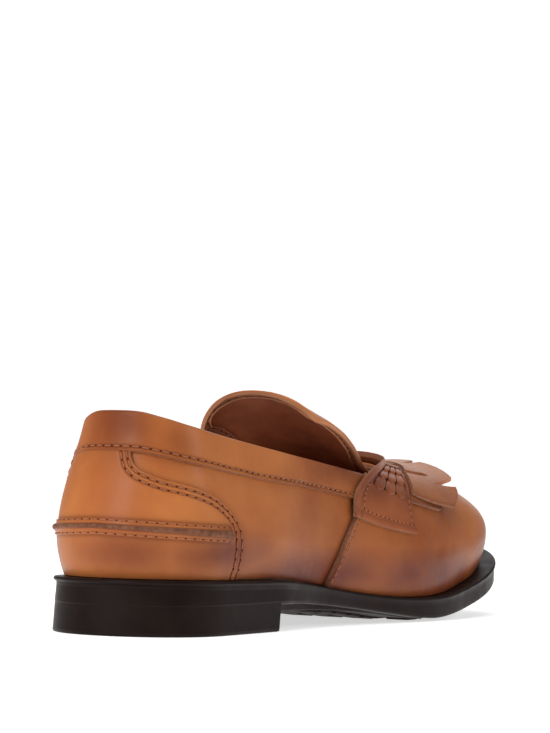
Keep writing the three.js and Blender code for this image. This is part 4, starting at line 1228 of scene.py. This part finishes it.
def over_tread(rise):
    return lambda x: tread_floor(x) + rise


sole_top = over_seat(-WELT_THICKNESS)
HEEL_TOP = WAIST_RISE * float(UNDER["rise"][0])
WELT_LAP = 0.04
WELT_EDGE = ((0.30, 0.46), (0.06, 0.38), (0.0, 0.28), (0.10, 0.15), (0.40, 0.05), (0.95, 0.0))
SIDE_STEP = 0.06


def flare_at(z):
    return HEEL_FLARE * z / (HEEL_STACK - WELT_THICKNESS)


def sole_inset(x, flare):
    return flare + (EDGE_INSET - flare) * smooth(0.25, 0.40, x / LENGTH)


def ledge(x):
    return LEDGE * lookup(PLAN, "ledge", x / LENGTH)


def tread_floor(x):
    drop = BALL_DROP + (WAIST_DROP - BALL_DROP) * (1 - smooth(0.30, 0.60, x / LENGTH))
    return np.maximum(0, under(x) + EDGE_LIFT - drop)


def side_height(share):
    """Height on the sole's side, from the top of its rounded lower edge to the welt."""
    def height(x):
        low = under(x) + EDGE_LIFT + EDGE_ROUND
        return low + (sole_top(x) - low) * share
    return height


def edge_ring(extra, flare, height):
    """A ring on the sole's side, further in by extra."""
    return ring(lambda x: sole_inset(x, flare) + extra, height, flare + extra, EDGE_INSET + extra)


def foot_ring(extra, rise):
    """A ring around the foot, inside the upper's wall and further in by extra."""
    inset = UPPER_FOOT + extra
    return ring(lambda x: ledge(x) + inset, over_seat(rise), FEATHER_BACK + inset, FEATHER_FRONT + inset)


def tread_ring(extra, height):
    inset = TREAD_INSET + extra
    return ring(inset, height, 0, TREAD_FRONT + inset, HEEL_LENGTH + BREAST_LEAN + inset)


def sole_pieces():
    low = flare_at(HEEL_TOP)
    loops("outsole", [
        edge_ring(EDGE_ROUND, low, over_bottom(0)),
        edge_ring(EDGE_ROUND * 0.3, low, over_bottom(EDGE_ROUND * 0.3)),
        edge_ring(0, low, side_height(0.0)),
        edge_ring(0, low + (HEEL_FLARE - low) * SIDE_STEP, side_height(SIDE_STEP)),
        edge_ring(0, HEEL_FLARE, sole_top),
        edge_ring(2.5, HEEL_FLARE, sole_top)], SOLE, ["outsole"])
    rim = [edge_ring(-WELT_LAP, HEEL_FLARE, over_seat(-WELT_THICKNESS * share)) for share in (1.0, 0.62)]
    rim += [ring(inset, over_seat(-WELT_THICKNESS * share), inset, inset) for inset, share in WELT_EDGE]
    rim += [foot_ring(0, 0), foot_ring(0, -WELT_THICKNESS)]
    loops("welt", rim, SOLE, ["welt"], hollow=True, sharp=50)
    top = HEEL_TOP + EDGE_LIFT + EDGE_ROUND * 1.2
    heel = ((0.9, -0.9, 0), (0.25, -0.3, 0.2), (0, 0, 0.8),
            (flare_at(1.6), BREAST_LEAN * 0.1, 1.6), (flare_at(top) - WELT_LAP, BREAST_LEAN, top))
    loops("heel_block", [ring(inset, height, inset, 0, inset, HEEL_LENGTH + breast)
                         for inset, breast, height in heel], SOLE, ["heel_block"])
    loops("forefoot_tread", [
        tread_ring(0.8, over_tread(STUD_HEIGHT)),
        tread_ring(0, over_tread(STUD_HEIGHT + 0.5)),
        tread_ring(0, over_bottom(0.4))], TREAD, ["forefoot_tread"])
    studs()
    loops("insole", [foot_ring(-1, -1), foot_ring(-0.8, INSOLE_RISE), foot_ring(6, INSOLE_RISE - 0.5)],
          SOCK, ["insole"], sharp=70)


STUD_RINGS = ((0.7, 0), (0.15, 0.25), (0, 0.8), (0, STUD_HEIGHT * 1.5))
CORNERS_X = np.array([-1, 1, 1, -1])
CORNERS_Y = np.array([-1, -1, 1, 1])


def studs():
    points, faces = [], []
    first = FOREFOOT_REST - math.floor((FOREFOOT_REST - STUDS_FROM) / STUD_PITCH) * STUD_PITCH
    front = TREAD_INSET + TREAD_FRONT
    for x in np.arange(first, STUDS_TO, STUD_PITCH):
        room = min(float(half(np.array(s), np.array(x + e * STUD_LENGTH / 2), TREAD_INSET, 0, front))
                   for s in (-1, 1) for e in (-1, 1))
        pairs = math.floor((room - STUD_WIDTH / 2 - STUD_MARGIN) / STUD_ROW)
        for k in range(-pairs, pairs + 1):
            rings = []
            for shrink, height in STUD_RINGS:
                px = x + CORNERS_X * (STUD_LENGTH / 2 - shrink)
                py = centre(x) + k * STUD_ROW + CORNERS_Y * (STUD_WIDTH / 2 - shrink)
                rings.append(stack(px, py, tread_floor(px) + height))
            stacked(points, faces, rings)
    piece("forefoot_studs", points, faces, (TREAD,), ["forefoot_tread"], sharp=30)


sole_pieces()


# Stage, lights and camera
CAMERA = {"azimuth": -60.634, "elevation": 1.328, "roll": -1.231, "distance": 1.3753, "focal": 3225.2,
          "centre": (286.81, 515.41), "target": (0.11025, 0, 0.045), "image": (550, 733)}
FLOOR_FRONT = 0.62
FLOOR_BACK = -2.0
FLOOR_HALF = 1.2
FLOOR_GLOW = 0.62
BEND = 1.2
WALL_TOP = 4
WORLD_LIGHT = 0.22


def backdrop():
    """A white floor that bends up into a wall, square to the camera."""
    bend = np.linspace(0, math.pi / 2, 16)
    profile = [(FLOOR_FRONT, 0)]
    profile += [(FLOOR_BACK - BEND * math.sin(t), BEND - BEND * math.cos(t)) for t in bend]
    profile.append((FLOOR_BACK - BEND, WALL_TOP))
    turn = math.radians(CAMERA["azimuth"])
    back = Vector((math.sin(turn), -math.cos(turn), 0))
    side = Vector((-back.y, back.x, 0))
    points = [tuple(back * p + side * s + Vector((0.11, 0, z)))
              for p, z in profile for s in (-FLOOR_HALF, FLOOR_HALF)]
    faces = [(2 * k, 2 * k + 1, 2 * k + 3, 2 * k + 2) for k in range(len(profile) - 1)]
    mesh = bpy.data.meshes.new("floor")
    mesh.from_pydata(points, [], faces)
    n = Nodes("floor")
    shade = n.mix(n.ramp(n.noise(3, 2), 0.3, 0.7), (0.97, 0.97, 0.97, 1), (0.95, 0.95, 0.95, 1))
    n.feed(n.shader, {"Base Color": shade, "Emission Color": shade, "Emission Strength": FLOOR_GLOW,
                      "Roughness": 0.9, "Specular IOR Level": 0.1})
    mesh.materials.append(n.material)
    mesh.shade_smooth()
    floor = show("floor", mesh)


def lamp(name, place, aim, size, power, tint=(1, 1, 1)):
    data = bpy.data.lights.new(name, "AREA")
    data.shape = "RECTANGLE"
    data.size, data.size_y = size
    data.energy = power
    data.color = tint
    thing = show(name, data)
    thing.location = place
    thing.rotation_euler = (Vector(aim) - Vector(place)).to_track_quat("-Z", "Y").to_euler()


def camera():
    a, e, r = (math.radians(CAMERA[k]) for k in ("azimuth", "elevation", "roll"))
    back = Vector((math.sin(a) * math.cos(e), -math.cos(a) * math.cos(e), math.sin(e)))
    right = Vector((math.cos(a), math.sin(a), 0))
    up = back.cross(right)
    turned = right * math.cos(r) - up * math.sin(r)
    upright = right * math.sin(r) + up * math.cos(r)
    data = bpy.data.cameras.new("camera")
    width, height = CAMERA["image"]
    data.sensor_width = 36
    data.lens = CAMERA["focal"] * data.sensor_width / height
    data.shift_x = (width / 2 - CAMERA["centre"][0]) / height
    data.shift_y = (CAMERA["centre"][1] - height / 2) / height
    data.clip_start, data.clip_end = 0.01, 30
    thing = show("camera", data)
    place = Vector(CAMERA["target"]) + back * CAMERA["distance"]
    thing.matrix_world = Matrix((
        (turned.x, upright.x, back.x, place.x),
        (turned.y, upright.y, back.y, place.y),
        (turned.z, upright.z, back.z, place.z),
        (0, 0, 0, 1)))
    bpy.context.scene.camera = thing


backdrop()
lamp("key", (-1.3, 0.1, 0.85), (0.02, 0, 0.05), (0.5, 0.8), 8.6, (1, 0.98, 0.95))
lamp("strip", (-1.15, 0.45, 0.30), (0.0, 0, 0.05), (0.16, 1.0), 1.6)
lamp("fill", (0.7, -1.5, 0.9), (0.16, 0, 0.05), (0.6, 0.5), 4.2)
lamp("top", (0.1, 0.0, 1.8), (0.1, 0, 0), (1.2, 1.2), 11)
world = bpy.data.worlds.new("studio")
world.use_nodes = True
world.node_tree.nodes["Background"].inputs["Color"].default_value = (1, 1, 1, 1)
world.node_tree.nodes["Background"].inputs["Strength"].default_value = WORLD_LIGHT
bpy.context.scene.world = world
bpy.context.scene.view_settings.view_transform = "Standard"
camera()
